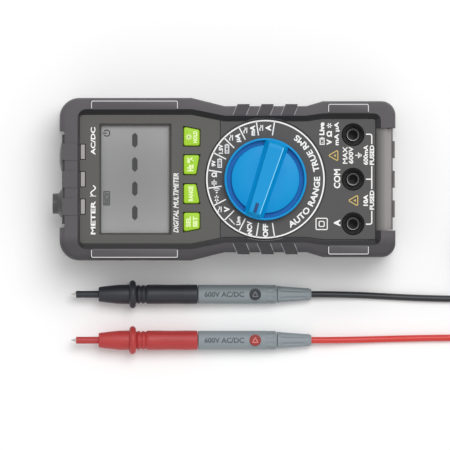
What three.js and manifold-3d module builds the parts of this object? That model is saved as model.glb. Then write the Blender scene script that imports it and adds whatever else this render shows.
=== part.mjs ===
// A handheld digital multimeter lying on its back, with its two test leads beside it.
// Millimetres. +X runs from the display end to the jack end, +Y across, +Z up off the bench.
// The origin is on the bench, under the middle of the meter.
import * as THREE from "three";
import { mergeVertices } from "three/addons/utils/BufferGeometryUtils.js";
import Module from "manifold-3d";

const wasm = await Module();
wasm.setup();

// ---------------------------------------------------------------- driving dimensions

const GAP = 0.3; // between pieces that touch on the real meter
const OVERSHOOT = 1; // how far a cutter runs past the face that it cuts

// Outline of the rubber holster, seen from above
const METER_LENGTH = 143.4;
const DISPLAY_END_WIDTH = 69.4;
const WAIST_WIDTH = 62.4;
const JACK_END_WIDTH = 66.6;
const DISPLAY_CORNER = 8.5;
const JACK_CORNER = 6;
const TAPER_LENGTH = 14; // from the display end's width to the waist's
const WAIST_LENGTH = 35;
const JACK_TAPER_LENGTH = 7;
const DIAL_X = 16.2; // the waist and the dial share this centre

// Heights above the bench
const RIM_TOP = 33.2;
const PANEL_TOP = 31;
const PANEL_THICK = 1.6;
const CASE_SPLIT = 17.35;
const REAR_LIP = 2.6; // the holster's lip under the rear case
const EDGE_ROUND = 2.4; // the holster's rounded edges
const BRIDGE_WIDTH = 14; // the band across the holster's back

// Walls
const RUBBER = 3.2;
const CASE_WALL = 2;
const REAR_LIP_WIDTH = 6;

// Front panel, inside the holster's rim
const PANEL_LENGTH = 126.2;
const PANEL_DISPLAY_WIDTH = 55;
const PANEL_WAIST_WIDTH = 49.4;
const PANEL_JACK_WIDTH = 51.4;
const PANEL_CORNER = 1.4;
const RIM_SLOPE = 2; // the rim's inner slope, seen from above
const RIM_END_SLOPE = 0.5; // the same at the display end
const RIM_STEP = 0.4; // the upright edge under that slope
const SEAM_X = -3.1; // between the display bezel and the jack panel

// Dial and knob
const DIAL_RADIUS = 25.5;
const DIAL_RAISE = 0.3;
const DIAL_GROOVE = 0.5;
const KNOB_RADIUS = 17.6;
const KNOB_RIM = 1;
const KNOB_HEIGHT = 4.3;
const MOAT_OUTER = 16.6;
const MOAT_INNER = 14.5;
const MOAT_DEPTH = 3;
const DISC_DROP = 1; // the knob's disc below its rim
const RIDGE_WIDTH = 6.5; // at the end away from the pointer
const RIDGE_POINTER_WIDTH = 4.7;
const RIDGE_SPREAD = 2; // how far each side slopes out to its foot
const RIDGE_HEIGHT = 3.6; // above the disc
const RIDGE_BEVEL = 2; // how far its ends lean in
const POINTER_LENGTH = 4.6;
const POINTER_WIDTH = 2.1;
const POINTER_RADIUS = 12.9;
const POINTER_DEPTH = 0.8;
const POINTER_ANGLE = 252; // degrees from +X, at the knob's rest position
const HUB_RADIUS = 8;
const SHAFT_RADIUS = 3.9;
const ROTOR_RADIUS = 13;
const ROTOR_THICK = 3;

// Display
const VIEW_X = -39.35;
const VIEW_LENGTH = 29.1;
const VIEW_WIDTH = 45.8;
const VIEW_CHAMFER = 0.9;
const LENS_MARGIN = 3;
const LENS_THICK = 1.1;
const LCD_THICK = 1.8;
const BACKLIGHT_THICK = 2.7;
const MODULE_INSET = 1.1; // the display module's edge inside the lens's

// Keys: each outline is [x, y] corners, and its mirror image about the X axis is a key too
const KEY_RAISE = 1;
const KEY_TRAVEL = 0.8;
const KEY_CLEARANCE = 0.35;
const KEY_FLANGE = 0.9;
const KEY_FLANGE_THICK = 1.1;
const OUTER_KEY = [[-18.7, 14.3], [-11.9, 14.3], [-11.9, 21.1], [-18.7, 22.4]];
const INNER_KEY = [[-18.7, 2.1], [-13.4, 2.1], [-11.9, 10.3], [-18.7, 10.3]];
const DOME_RADIUS = 2.4;
const PAD_THICK = 1;

// Signal lights at the display end of the panel
const LIGHT_PITCH = 11.7;
const LIGHT_WIDTH = 6.2;
const LIGHT_LENGTH = 1.8;
const LIGHT_INSET = 0.4; // from the panel's end
const LIGHT_BAR = 2.5;

// Input jacks
const JACK_X = 53.6;
const JACK_PITCH = 19;
const SHROUD_RADIUS = 4.6;
const SHROUD_BORE = 4.15;
const SHROUD_RAISE = 0.5;
const SHROUD_DEPTH = 10.5;
const SLEEVE_RADIUS = 2.75;
const SLEEVE_BORE = 2.1;
const SLEEVE_SINK = 2.4;
const SLEEVE_LENGTH = 14;

// Board and what is fixed to it
const BOARD_TOP = 19.6;
const BOARD_THICK = 1.6;
const BOARD_WIDTH = 49.2;
const BOARD_LEFT = -59;
const BOARD_RIGHT = 58.5;
const FUSES = [
  { name: "fuse_10a", radius: 3.15, length: 30, x: 8 },
  { name: "fuse_ma", radius: 2.6, length: 20, x: -1 },
];
const BUZZER_RADIUS = 6;
const BUZZER_HEIGHT = 4;
const BUZZER_PLACE = [-35, -12];

// Batteries and their cover
const CELL_RADIUS = 5.25;
const CELL_LENGTH = 43.7;
const CELL_NUB = 0.8;
const CELL_NUB_RADIUS = 1.9;
const CELL_X = [27, 38.5];
const BAY_LEFT = 20;
const BAY_RIGHT = 44.5;
const COVER_RIGHT = 51.3;
const COVER_WIDTH = 50;
const COVER_TONGUE = 1.2;
const COVER_SCREW_X = 48;

// Screws
const SCREW_HEAD = 2.3;
const SCREW_HEAD_THICK = 2;
const SCREW_SHANK = 1.2;
const SCREW_LENGTH = 18;
const COVER_SCREW_LENGTH = 6;
const BOSS_RADIUS = 3;
const DRIVE_LENGTH = 2.6;
const DRIVE_WIDTH = 0.6;
const DRIVE_DEPTH = 1;
const CASE_SCREWS = [[-62.4, 22], [-62.4, -22], [62.2, 9.5], [62.2, -9.5]];

// Ends of the case that show through the holster
const TOP_END_REACH = 2.5; // how far the case's end stands out past its wall
const TOP_END_WIDTH = 38.2;
const TOP_END_LOW = 8;
const TOP_END_HIGH = 26;
const NOTCH_WIDTH = 41.2;
const NOTCH_DEPTH = 2.1;
const LIGHT_RIB_RAISE = 0.35; // ribs on the rim, in line with the signal lights
const LIGHT_RIB_REACH = 0.8;
const LIGHT_RIB_WIDTH = 7.2;
const BOTTOM_END_WIDTH = 43.2;
const BOTTOM_END_ROUND = 5.5;
const END_RIB_PITCH = 12.7;
const END_RIB_WIDTH = 7.3;
const END_RIB_REACH = 0.8;
const END_RIB_HEIGHT = 8;
const TORCH_PLACE = [-10.4, 17]; // y, z
const TORCH_REACH = 3.9;
const TORCH_RADIUS = 4.35;
const TORCH_FLARE = 6.1;
const TORCH_BORE = 3.1;
const SENSOR_PLACE = [9.5, 17];
const SENSOR_RADIUS = 6.5;
const SENSOR_REACH = 0.9;

// Holster details
const GRIP_PITCH = 10.25;
const GRIP_WIDTH = 5.3;
const GRIP_SLANT = 1.9;
const GRIP_INWARD = 3.7;
const GRIP_REACH = 0.85;
const GRIP_RAISE = 0.35;
const LANDS = [
  { from: -58.3, to: -21.1, half: DISPLAY_END_WIDTH / 2 },
  { from: 42.9, to: 60.4, half: JACK_END_WIDTH / 2 },
];
const LAND_INSET = 1.1;
const LAND_WIDTH = 3.9;
const LAND_RAISE = 0.4;

// Tilt stand
const STAND_HINGE_X = -56;
const STAND_LENGTH = 46;
const STAND_WIDTH = 30;
const STAND_THICK = 2;
const STAND_GAP = 0.3; // under the rear case
const STAND_PIN = 0.7;
const STAND_PIN_REACH = 2.4;
const EAR_THICK = 3;
const EAR_LENGTH = 4.4;
const FINGER_NOTCH = 6;

// Test leads: distances along the probe are from its point
const LEADS = [
  { name: "black", y: -49.3, drift: -2, coilX: 120, colour: 0x2b2d31 },
  { name: "red", y: -69, drift: 1, coilX: 165, colour: 0xb5302e },
];
// A cord's route from its strain relief: how far along, the share of its drop still to go and
// the share of its sideways drift already made
const CORD_ROUTE = [
  [6, 0.9, 0],
  [14, 0.55, 0.08],
  [22, 0.2, 0.22],
  [30, 0, 0.42],
  [42, 0, 0.72],
  [54, 0, 0.92],
  [64, 0, 1],
];
const PROBE_POINT_X = -67.3;
const TIP_RADIUS = 0.85;
const TIP_CONE = 2.3;
const TIP_LENGTH = 40;
const SLEEVED_TO = 12;
const NOSE_RADIUS = 1.5;
const SHOULDER_RADIUS = 3.2;
const GRIP_RADIUS = 4.15;
const CONE_TO = 20.5;
const GUARD_AT = 26.6;
const GUARD_RADIUS = 6.06;
const GUARD_THICK = 2.8;
const RING_RADIUS = 3.95;
const RING_ROOT = 3.5;
const RINGS_AT = [29.2, 31.2];
const RING_WIDTH = 1;
const BARREL_END = 54.4;
const HANDLE_END = 88.4;
const HANDLE_RADIUS = 4.05;
const RELIEF_END = 103.3;
const RELIEF_RADIUS = 3.55;
const RELIEF_TIP_RADIUS = 2.25;
const BADGE_AT = 79.1;
const BADGE_RADIUS = 2.5;
const BADGE_DEPTH = 1.1;
const BADGE_PROUD = 0.15;
const CORD_RADIUS = 1.4;
const COIL_ACROSS = 11; // cord diameters across the middle of its turns
const COIL_LAYERS = 3;
const PLUG_BOOT = 14;
const PLUG_BOOT_RADIUS = 3.3;
const PLUG_GRIP = 19;
const PLUG_RADIUS = 4.3;
const PLUG_FLANGE = 4.9;
const PLUG_FLANGE_THICK = 1.8;
const PLUG_SHELL = 17;
const PLUG_SHELL_RADIUS = 4;
const PLUG_SHELL_BORE = 3.1;
const PLUG_PIN_RADIUS = 1.95;
const PLUG_PIN_SINK = 5;

// ---------------------------------------------------------------- values worked out from them

const CASE_INSET = RUBBER + GAP;
const CASE_BACK = REAR_LIP + GAP;
const FLOOR_TOP = CASE_BACK + CASE_WALL;
const PANEL_UNDER = PANEL_TOP - PANEL_THICK;
const DECK_TOP = PANEL_UNDER - GAP;
const DECK_UNDER = DECK_TOP - CASE_WALL;
const METER_END = METER_LENGTH / 2;
const PANEL_END = PANEL_LENGTH / 2;
const CASE_END = METER_END - CASE_INSET;
const DIAL_TOP = PANEL_TOP + DIAL_RAISE;
const DIAL_SEAT = PANEL_UNDER + PANEL_THICK / 2;
const KNOB_BASE = DIAL_TOP + GAP;
const KNOB_TOP = KNOB_BASE + KNOB_HEIGHT;
const DISC_TOP = KNOB_TOP - DISC_DROP;
const BOARD_UNDER = BOARD_TOP - BOARD_THICK;
const CORD = 2 * CORD_RADIUS;

// ---------------------------------------------------------------- solids

/** A closed geometry as a manifold-3d solid, its faces turned outward. */
function solid(geometry) {
  const bare = geometry.index ? geometry.toNonIndexed() : geometry.clone();
  bare.deleteAttribute("normal");
  bare.deleteAttribute("uv");
  const merged = mergeVertices(bare, 1e-4);
  const triVerts = new Uint32Array(merged.index.array);
  const build = () =>
    new wasm.Manifold(
      new wasm.Mesh({ numProp: 3, vertProperties: merged.attributes.position.array, triVerts }),
    );
  const made = build();
  if (made.volume() >= 0) return made;
  for (let i = 0; i < triVerts.length; i += 3) {
    [triVerts[i + 1], triVerts[i + 2]] = [triVerts[i + 2], triVerts[i + 1]];
  }
  return build();
}

/** A solid as a geometry for a three.js mesh. */
function geometryOf(made) {
  const mesh = made.getMesh();
  const points = new Float32Array(mesh.numVert * 3);
  for (let i = 0; i < mesh.numVert; i++) {
    points.set(mesh.vertProperties.subarray(i * mesh.numProp, i * mesh.numProp + 3), i * 3);
  }
  const geometry = new THREE.BufferGeometry();
  geometry.setAttribute("position", new THREE.BufferAttribute(points, 3));
  geometry.setIndex(new THREE.BufferAttribute(mesh.triVerts, 1));
  geometry.computeVertexNormals();
  return geometry;
}

const joined = (first, ...others) => others.reduce((sum, other) => sum.add(other), first);
const without = (first, ...others) => others.reduce((rest, other) => rest.subtract(other), first);

/** A box between two corners. */
function block(x, y, z) {
  const geometry = new THREE.BoxGeometry(x[1] - x[0], y[1] - y[0], z[1] - z[0]);
  geometry.translate((x[0] + x[1]) / 2, (y[0] + y[1]) / 2, (z[0] + z[1]) / 2);
  return solid(geometry);
}

/** A shape of the XY plane carried up from z[0] to z[1]. */
function slab(shape, z, curveSegments = 6) {
  const geometry = new THREE.ExtrudeGeometry(shape, {
    depth: z[1] - z[0],
    bevelEnabled: false,
    curveSegments,
  });
  return solid(geometry.translate(0, 0, z[0]));
}

/** A slab whose outline is the shape at z[0] and spreads by flare over the first rise. */
function flaredSlab(shape, z, flare, rise, curveSegments = 6) {
  const geometry = new THREE.ExtrudeGeometry(shape, {
    depth: z[1] - z[0] - rise,
    bevelThickness: rise,
    bevelSize: flare,
    bevelSegments: 1,
    curveSegments,
  });
  return solid(geometry.translate(0, 0, z[0] + rise));
}

/** A slab with its upper and lower edges rounded to the radius given. */
function roundedSlab(shape, z, round, steps = 2) {
  const geometry = new THREE.ExtrudeGeometry(shape, {
    depth: z[1] - z[0] - 2 * round,
    bevelThickness: round,
    bevelSize: round,
    bevelOffset: -round,
    bevelSegments: steps,
    curveSegments: 6,
  });
  return solid(geometry.translate(0, 0, z[0] + round));
}

/** A cylinder standing along Z. */
function post(radius, [x, y], z, segments = 24) {
  const geometry = new THREE.CylinderGeometry(radius, radius, z[1] - z[0], segments);
  geometry.rotateX(Math.PI / 2);
  return solid(geometry.translate(x, y, (z[0] + z[1]) / 2));
}

/** A cylinder lying along Y. */
function rod(radius, [x, z], y, segments = 24) {
  const geometry = new THREE.CylinderGeometry(radius, radius, y[1] - y[0], segments);
  return solid(geometry.translate(x, (y[0] + y[1]) / 2, z));
}

/** A profile of [along, radius] points turned about the X axis. */
function turned(profile, segments = 20) {
  const points = profile.map(([along, radius]) => new THREE.Vector2(radius, along));
  const geometry = new THREE.LatheGeometry(points, segments, Math.PI / 2);
  return solid(geometry.rotateZ(-Math.PI / 2));
}

/** A profile of [height, radius] points turned about an upright axis. */
function spun(profile, [x, y], segments = 40) {
  const points = profile.map(([height, radius]) => new THREE.Vector2(radius, height));
  const geometry = new THREE.LatheGeometry(points, segments);
  return solid(geometry.rotateX(Math.PI / 2).translate(x, y, 0));
}

function polygon(points) {
  return new THREE.Shape(points.map(([x, y]) => new THREE.Vector2(x, y)));
}

/** A round-cornered outline that narrows to a waist about the dial. */
function waisted({ left, right, display, waist, jack, spread, leftCorner, rightCorner }) {
  const waistLeft = DIAL_X - WAIST_LENGTH / 2 - spread;
  const waistRight = DIAL_X + WAIST_LENGTH / 2 + spread;
  const shape = new THREE.Shape();
  shape.moveTo(waistRight, -waist);
  shape.lineTo(waistRight + JACK_TAPER_LENGTH, -jack);
  shape.absarc(right - rightCorner, rightCorner - jack, rightCorner, -Math.PI / 2, 0);
  shape.absarc(right - rightCorner, jack - rightCorner, rightCorner, 0, Math.PI / 2);
  shape.lineTo(waistRight + JACK_TAPER_LENGTH, jack);
  shape.lineTo(waistRight, waist);
  shape.lineTo(waistLeft, waist);
  shape.lineTo(waistLeft - TAPER_LENGTH, display);
  shape.absarc(left + leftCorner, display - leftCorner, leftCorner, Math.PI / 2, Math.PI);
  shape.absarc(left + leftCorner, leftCorner - display, leftCorner, Math.PI, 1.5 * Math.PI);
  shape.lineTo(waistLeft - TAPER_LENGTH, -display);
  shape.lineTo(waistLeft, -waist);
  return shape;
}

/** The holster's outline, set in by a distance. */
function meterOutline(inset) {
  return waisted({
    left: inset - METER_END,
    right: METER_END - inset,
    display: DISPLAY_END_WIDTH / 2 - inset,
    waist: WAIST_WIDTH / 2 - inset,
    jack: JACK_END_WIDTH / 2 - inset,
    spread: 0,
    leftCorner: Math.max(DISPLAY_CORNER - inset, 1),
    rightCorner: Math.max(JACK_CORNER - inset, 1),
  });
}

/** The front panel's outline, spread by a distance, and shortened at its display end. */
function panelOutline(spread, shortened = 0) {
  return waisted({
    left: -PANEL_END - spread + shortened,
    right: PANEL_END + spread,
    display: PANEL_DISPLAY_WIDTH / 2 + spread,
    waist: PANEL_WAIST_WIDTH / 2 + spread,
    jack: PANEL_JACK_WIDTH / 2 + spread,
    spread: 0,
    leftCorner: PANEL_CORNER + spread,
    rightCorner: PANEL_CORNER / 2 + spread,
  });
}

const MIRRORED = [1, -1];
const jackYs = [JACK_PITCH, 0, -JACK_PITCH];
const dial = [DIAL_X, 0];

/** An outline pushed outward on every side, for a polygon whose corners go round anticlockwise. */
function pushed(points, by) {
  const line = (a, b) => {
    const length = Math.hypot(b[0] - a[0], b[1] - a[1]);
    const normal = [(b[1] - a[1]) / length, (a[0] - b[0]) / length];
    return { normal, reach: normal[0] * a[0] + normal[1] * a[1] + by };
  };
  return points.map((corner, i) => {
    const before = line(points[(i + points.length - 1) % points.length], corner);
    const after = line(corner, points[(i + 1) % points.length]);
    const cross = before.normal[0] * after.normal[1] - before.normal[1] * after.normal[0];
    return [
      (before.reach * after.normal[1] - after.reach * before.normal[1]) / cross,
      (after.reach * before.normal[0] - before.reach * after.normal[0]) / cross,
    ];
  });
}

const mirroredKey = (points) => points.map(([x, y]) => [x, -y]).reverse();
const KEYS = [
  { name: "key_light", outline: OUTER_KEY },
  { name: "key_hertz", outline: INNER_KEY },
  { name: "key_range", outline: mirroredKey(INNER_KEY) },
  { name: "key_select", outline: mirroredKey(OUTER_KEY) },
];

// ---------------------------------------------------------------- holster and cases

const lightPlaces = [LIGHT_PITCH, 0, -LIGHT_PITCH];
const lightX = [LIGHT_INSET - PANEL_END, LIGHT_INSET - PANEL_END + LIGHT_LENGTH];

/** The raised bars on each side of the waist, slanting outward to the jack end. */
function waistGrips() {
  const outer = WAIST_WIDTH / 2 + GRIP_REACH;
  const inner = WAIST_WIDTH / 2 - GRIP_INWARD;
  return [-1, 0, 1].flatMap((step) =>
    MIRRORED.map((side) => {
      const middle = DIAL_X + step * GRIP_PITCH;
      const corners = [
        [middle - GRIP_WIDTH / 2 - GRIP_SLANT / 2, side * inner],
        [middle + GRIP_WIDTH / 2 - GRIP_SLANT / 2, side * inner],
        [middle + GRIP_WIDTH / 2 + GRIP_SLANT / 2, side * outer],
        [middle - GRIP_WIDTH / 2 + GRIP_SLANT / 2, side * outer],
      ];
      return slab(polygon(corners), [EDGE_ROUND, RIM_TOP + GRIP_RAISE]);
    }),
  );
}

/** The smooth raised lands on the rim beside the display and beside the jacks. */
function rimLands() {
  return LANDS.flatMap(({ from, to, half }) =>
    MIRRORED.map((side) => {
      const outer = half - LAND_INSET;
      const y = [side * outer, side * (outer - LAND_WIDTH)].sort((a, b) => a - b);
      return block([from, to], y, [RIM_TOP - EDGE_ROUND, RIM_TOP + LAND_RAISE]);
    }),
  );
}

/** Ribs that lie on the rim in line with the signal lights and run down its face. */
function lightRibs(shoulder) {
  const face = NOTCH_DEPTH - METER_END;
  const top = RIM_TOP + LIGHT_RIB_RAISE;
  return lightPlaces.flatMap((y) => {
    const width = [y - LIGHT_RIB_WIDTH / 2, y + LIGHT_RIB_WIDTH / 2];
    return [
      block([face - LIGHT_RIB_REACH, -PANEL_END - RIM_STEP - RIM_END_SLOPE], width, [shoulder, top]),
      block([face - LIGHT_RIB_REACH, RUBBER - METER_END], width, [TOP_END_HIGH + GAP, top]),
    ];
  });
}

function holster() {
  const shoulder = PANEL_TOP + GAP;
  const slopeFrom = shoulder + RIM_STEP;
  const past = [-METER_END - 2 * OVERSHOOT, METER_END + 2 * OVERSHOOT];
  const opening = panelOutline(RIM_STEP);
  const flare = panelOutline(RIM_STEP, RIM_SLOPE - RIM_END_SLOPE);
  const body = joined(
    roundedSlab(meterOutline(0), [0, RIM_TOP], EDGE_ROUND),
    ...waistGrips(),
    ...rimLands(),
  );
  const shell = without(
    body,
    slab(meterOutline(RUBBER), [REAR_LIP, shoulder]),
    slab(meterOutline(REAR_LIP_WIDTH), [-OVERSHOOT, REAR_LIP + OVERSHOOT]).subtract(
      block([-BRIDGE_WIDTH / 2, BRIDGE_WIDTH / 2], [-METER_END, METER_END], [-2 * OVERSHOOT, REAR_LIP]),
    ),
    slab(opening, [REAR_LIP + OVERSHOOT, RIM_TOP + 2 * OVERSHOOT]),
    flaredSlab(flare, [slopeFrom, RIM_TOP + 3 * OVERSHOOT], RIM_SLOPE, RIM_TOP - slopeFrom),
    post(DIAL_RADIUS + DIAL_GROOVE + RIM_STEP, dial, [PANEL_UNDER, RIM_TOP + OVERSHOOT], 48),
    // the recess between the display end's two bumpers, and the window under it
    block(
      [past[0], NOTCH_DEPTH - METER_END],
      [-NOTCH_WIDTH / 2, NOTCH_WIDTH / 2],
      [-OVERSHOOT, RIM_TOP + OVERSHOOT],
    ),
    block(
      [past[0], -PANEL_END],
      [-TOP_END_WIDTH / 2 - GAP, TOP_END_WIDTH / 2 + GAP],
      [TOP_END_LOW - GAP, TOP_END_HIGH + GAP],
    ),
    // the jack end is bare between its bumpers
    block(
      [PANEL_END - OVERSHOOT, past[1]],
      [-BOTTOM_END_WIDTH / 2 - GAP, BOTTOM_END_WIDTH / 2 + GAP],
      [-OVERSHOOT, RIM_TOP + OVERSHOOT],
    ),
  );
  return joined(shell, ...lightRibs(shoulder));
}

/** The part of the case that stands out at the jack end, rounded at the face given. */
function bottomEnd(z, roundedAtTop) {
  const x = METER_END - 1;
  const [low, high] = z;
  const inner = PANEL_END + GAP;
  const shape = new THREE.Shape();
  if (roundedAtTop) {
    shape.moveTo(inner, low).lineTo(x, low);
    shape.absarc(x - BOTTOM_END_ROUND, high - BOTTOM_END_ROUND, BOTTOM_END_ROUND, 0, Math.PI / 2);
    shape.lineTo(inner, high);
  } else {
    shape.moveTo(inner, high).lineTo(inner, low);
    shape.absarc(x - BOTTOM_END_ROUND, low + BOTTOM_END_ROUND, BOTTOM_END_ROUND, -Math.PI / 2, 0);
    shape.lineTo(x, high);
  }
  const geometry = new THREE.ExtrudeGeometry(shape, {
    depth: BOTTOM_END_WIDTH,
    bevelEnabled: false,
    curveSegments: 8,
  });
  // the shape's own Y is the meter's height
  return solid(geometry.rotateX(Math.PI / 2).translate(0, BOTTOM_END_WIDTH / 2, 0));
}

function endRibs(z) {
  const x = METER_END - 1;
  return [-1, 0, 1].map((step) => {
    const middle = step * END_RIB_PITCH;
    return block(
      [x - OVERSHOOT, x + END_RIB_REACH],
      [middle - END_RIB_WIDTH / 2, middle + END_RIB_WIDTH / 2],
      z,
    );
  });
}

const topEnd = (z) =>
  block([-CASE_END - TOP_END_REACH, OVERSHOOT - CASE_END], [-TOP_END_WIDTH / 2, TOP_END_WIDTH / 2], z);

const lensX = [VIEW_X - VIEW_LENGTH / 2 - LENS_MARGIN, VIEW_X + VIEW_LENGTH / 2 + LENS_MARGIN];
const lensY = [-VIEW_WIDTH / 2 - LENS_MARGIN + 0.5, VIEW_WIDTH / 2 + LENS_MARGIN - 0.5];
const grown = ([low, high], by) => [low - by, high + by];

function frontCase() {
  const low = CASE_SPLIT + GAP / 2;
  const shell = joined(
    without(
      slab(meterOutline(CASE_INSET), [low, PANEL_TOP]),
      slab(meterOutline(CASE_INSET + CASE_WALL), [low - OVERSHOOT, DECK_UNDER]),
    ),
    topEnd([low, TOP_END_HIGH]),
    bottomEnd([low, PANEL_TOP], true),
    ...endRibs([low + OVERSHOOT, low + OVERSHOOT + END_RIB_HEIGHT]),
    ...CASE_SCREWS.map((place) => post(BOSS_RADIUS, place, [low + GAP, DECK_UNDER + OVERSHOOT], 16)),
  );
  const through = [DECK_UNDER - OVERSHOOT, PANEL_TOP];
  const screwHole = [low - OVERSHOOT, CASE_BACK + SCREW_HEAD_THICK + SCREW_LENGTH + OVERSHOOT];
  return without(
    shell,
    slab(panelOutline(GAP), [DECK_TOP, PANEL_TOP + OVERSHOOT]),
    post(DIAL_RADIUS + DIAL_GROOVE, dial, [DECK_TOP, PANEL_TOP + OVERSHOOT], 48),
    block(grown(lensX, GAP), grown(lensY, GAP), through),
    post(HUB_RADIUS + GAP, dial, through, 24),
    ...KEYS.map(({ outline }) => slab(polygon(pushed(outline, KEY_CLEARANCE)), through)),
    ...jackYs.map((y) => post(SHROUD_RADIUS + GAP, [JACK_X, y], through, 24)),
    ...lightPlaces.map((y) =>
      block(grown(lightX, GAP), grown([y - LIGHT_WIDTH / 2, y + LIGHT_WIDTH / 2], GAP), through),
    ),
    ...CASE_SCREWS.map((place) => post(SCREW_SHANK + GAP, place, screwHole, 16)),
  );
}

const standAxisZ = CASE_BACK - STAND_GAP - STAND_THICK / 2;
const pinEnd = STAND_WIDTH / 2 + STAND_PIN_REACH;
const coverY = [-COVER_WIDTH / 2, COVER_WIDTH / 2];

function rearCase() {
  const high = CASE_SPLIT - GAP / 2;
  const coverBossTop = CASE_BACK + COVER_TONGUE + GAP + COVER_SCREW_LENGTH;
  const shell = joined(
    without(
      slab(meterOutline(CASE_INSET), [CASE_BACK, high]),
      slab(meterOutline(CASE_INSET + CASE_WALL), [FLOOR_TOP, high + OVERSHOOT]),
    ),
    topEnd([TOP_END_LOW, high]),
    bottomEnd([CASE_BACK, high], false),
    ...endRibs([high - OVERSHOOT - END_RIB_HEIGHT, high - OVERSHOOT]),
    ...CASE_SCREWS.map((place) => post(BOSS_RADIUS, place, [CASE_BACK + OVERSHOOT, high - GAP], 16)),
    post(BOSS_RADIUS - 0.4, [COVER_SCREW_X, 0], [CASE_BACK + COVER_TONGUE + GAP, coverBossTop], 16),
    ...MIRRORED.map((side) => {
      const inner = STAND_WIDTH / 2 + GAP;
      const y = [side * inner, side * (inner + EAR_THICK)].sort((a, b) => a - b);
      return block(
        [STAND_HINGE_X - EAR_LENGTH / 2, STAND_HINGE_X + EAR_LENGTH / 2],
        y,
        [GAP, CASE_BACK + OVERSHOOT],
      );
    }),
  );
  const below = CASE_BACK - OVERSHOOT;
  return without(
    shell,
    block([BAY_LEFT, BAY_RIGHT], coverY, [below, FLOOR_TOP + OVERSHOOT]),
    block([BAY_RIGHT - OVERSHOOT, COVER_RIGHT], coverY, [below, CASE_BACK + COVER_TONGUE + GAP]),
    post(SCREW_SHANK + GAP, [COVER_SCREW_X, 0], [below, coverBossTop + OVERSHOOT], 16),
    ...CASE_SCREWS.flatMap((place) => [
      post(SCREW_HEAD + GAP, place, [below, CASE_BACK + GAP + SCREW_HEAD_THICK + GAP], 20),
      post(SCREW_SHANK + GAP, place, [below, high + OVERSHOOT], 16),
    ]),
    rod(STAND_PIN + GAP, [STAND_HINGE_X, standAxisZ], [-pinEnd - GAP, pinEnd + GAP], 16),
  );
}

// ---------------------------------------------------------------- front panels and display

const panelZ = [PANEL_UNDER, PANEL_TOP];
const cutZ = [PANEL_UNDER - OVERSHOOT, PANEL_TOP + OVERSHOOT];
const dialCut = () => post(DIAL_RADIUS + DIAL_GROOVE, dial, cutZ, 48);
const halfPlane = (x) => block(x, [-METER_END, METER_END], cutZ);

function displayBezel() {
  const view = polygon([
    [VIEW_X - VIEW_LENGTH / 2, -VIEW_WIDTH / 2],
    [VIEW_X + VIEW_LENGTH / 2, -VIEW_WIDTH / 2],
    [VIEW_X + VIEW_LENGTH / 2, VIEW_WIDTH / 2],
    [VIEW_X - VIEW_LENGTH / 2, VIEW_WIDTH / 2],
  ]);
  return without(
    slab(panelOutline(0), panelZ),
    dialCut(),
    halfPlane([SEAM_X - GAP / 2, METER_END]),
    slab(view, cutZ),
    flaredSlab(view, [PANEL_UNDER + GAP, PANEL_TOP + 2 * OVERSHOOT], VIEW_CHAMFER, PANEL_THICK - GAP),
    ...KEYS.map(({ outline }) => slab(polygon(pushed(outline, KEY_CLEARANCE)), cutZ)),
    ...lightPlaces.map((y) =>
      block(
        [-PANEL_END - OVERSHOOT, lightX[1] + GAP],
        grown([y - LIGHT_WIDTH / 2, y + LIGHT_WIDTH / 2], GAP),
        cutZ,
      ),
    ),
  );
}

function jackPanel() {
  const sheet = slab(panelOutline(0), panelZ).subtract(halfPlane([-METER_END, SEAM_X + GAP / 2]));
  return without(
    sheet.add(post(DIAL_RADIUS + DIAL_GROOVE - GAP, dial, [PANEL_UNDER, DIAL_SEAT], 48)),
    post(DIAL_RADIUS + DIAL_GROOVE, dial, [DIAL_SEAT, cutZ[1]], 48),
    post(HUB_RADIUS + GAP, dial, cutZ, 24),
    ...jackYs.map((y) => post(SHROUD_RADIUS + GAP, [JACK_X, y], cutZ, 24)),
  );
}

const dialPlate = () =>
  without(
    post(DIAL_RADIUS, dial, [DIAL_SEAT + GAP, DIAL_TOP], 48),
    post(HUB_RADIUS + GAP, dial, cutZ, 24),
  );

function displayStack() {
  const lensTop = DECK_TOP;
  const lcdTop = lensTop - LENS_THICK - GAP;
  const backTop = lcdTop - LCD_THICK - GAP;
  const x = grown(lensX, -MODULE_INSET);
  const y = grown(lensY, -MODULE_INSET);
  return {
    display_window: block(lensX, lensY, [lensTop - LENS_THICK, lensTop]),
    lcd_glass: block(x, y, [lcdTop - LCD_THICK, lcdTop]),
    backlight: block(x, y, [backTop - BACKLIGHT_THICK, backTop]),
  };
}

function lightGuide() {
  const barTop = DECK_UNDER - GAP;
  const reach = LIGHT_PITCH + LIGHT_WIDTH / 2;
  return joined(
    block(lightX, [-reach, reach], [barTop - LIGHT_BAR, barTop]),
    ...lightPlaces.map((y) =>
      block(lightX, [y - LIGHT_WIDTH / 2, y + LIGHT_WIDTH / 2], [barTop - LIGHT_BAR, PANEL_TOP]),
    ),
  );
}

// ---------------------------------------------------------------- keys

const flangeTop = DECK_UNDER - GAP;
const flangeUnder = flangeTop - KEY_FLANGE_THICK;

function keyCap(outline) {
  return joined(
    slab(polygon(outline), [flangeTop - GAP, PANEL_TOP + KEY_RAISE]),
    slab(polygon(pushed(outline, KEY_FLANGE)), [flangeUnder, flangeTop]),
  );
}

function middleOf(outline) {
  const sum = outline.reduce(([a, b], [x, y]) => [a + x, b + y], [0, 0]);
  return [sum[0] / outline.length, sum[1] / outline.length];
}

function keypad() {
  const z = BOARD_TOP + GAP;
  const domeTop = flangeUnder - KEY_TRAVEL - GAP;
  const xs = OUTER_KEY.map(([x]) => x);
  const reach = Math.max(...OUTER_KEY.map(([, y]) => y));
  return joined(
    block([Math.min(...xs), Math.max(...xs)], [-reach, reach], [z, z + PAD_THICK]),
    ...KEYS.map(({ outline }) => post(DOME_RADIUS, middleOf(outline), [z, domeTop], 16)),
  );
}

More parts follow.
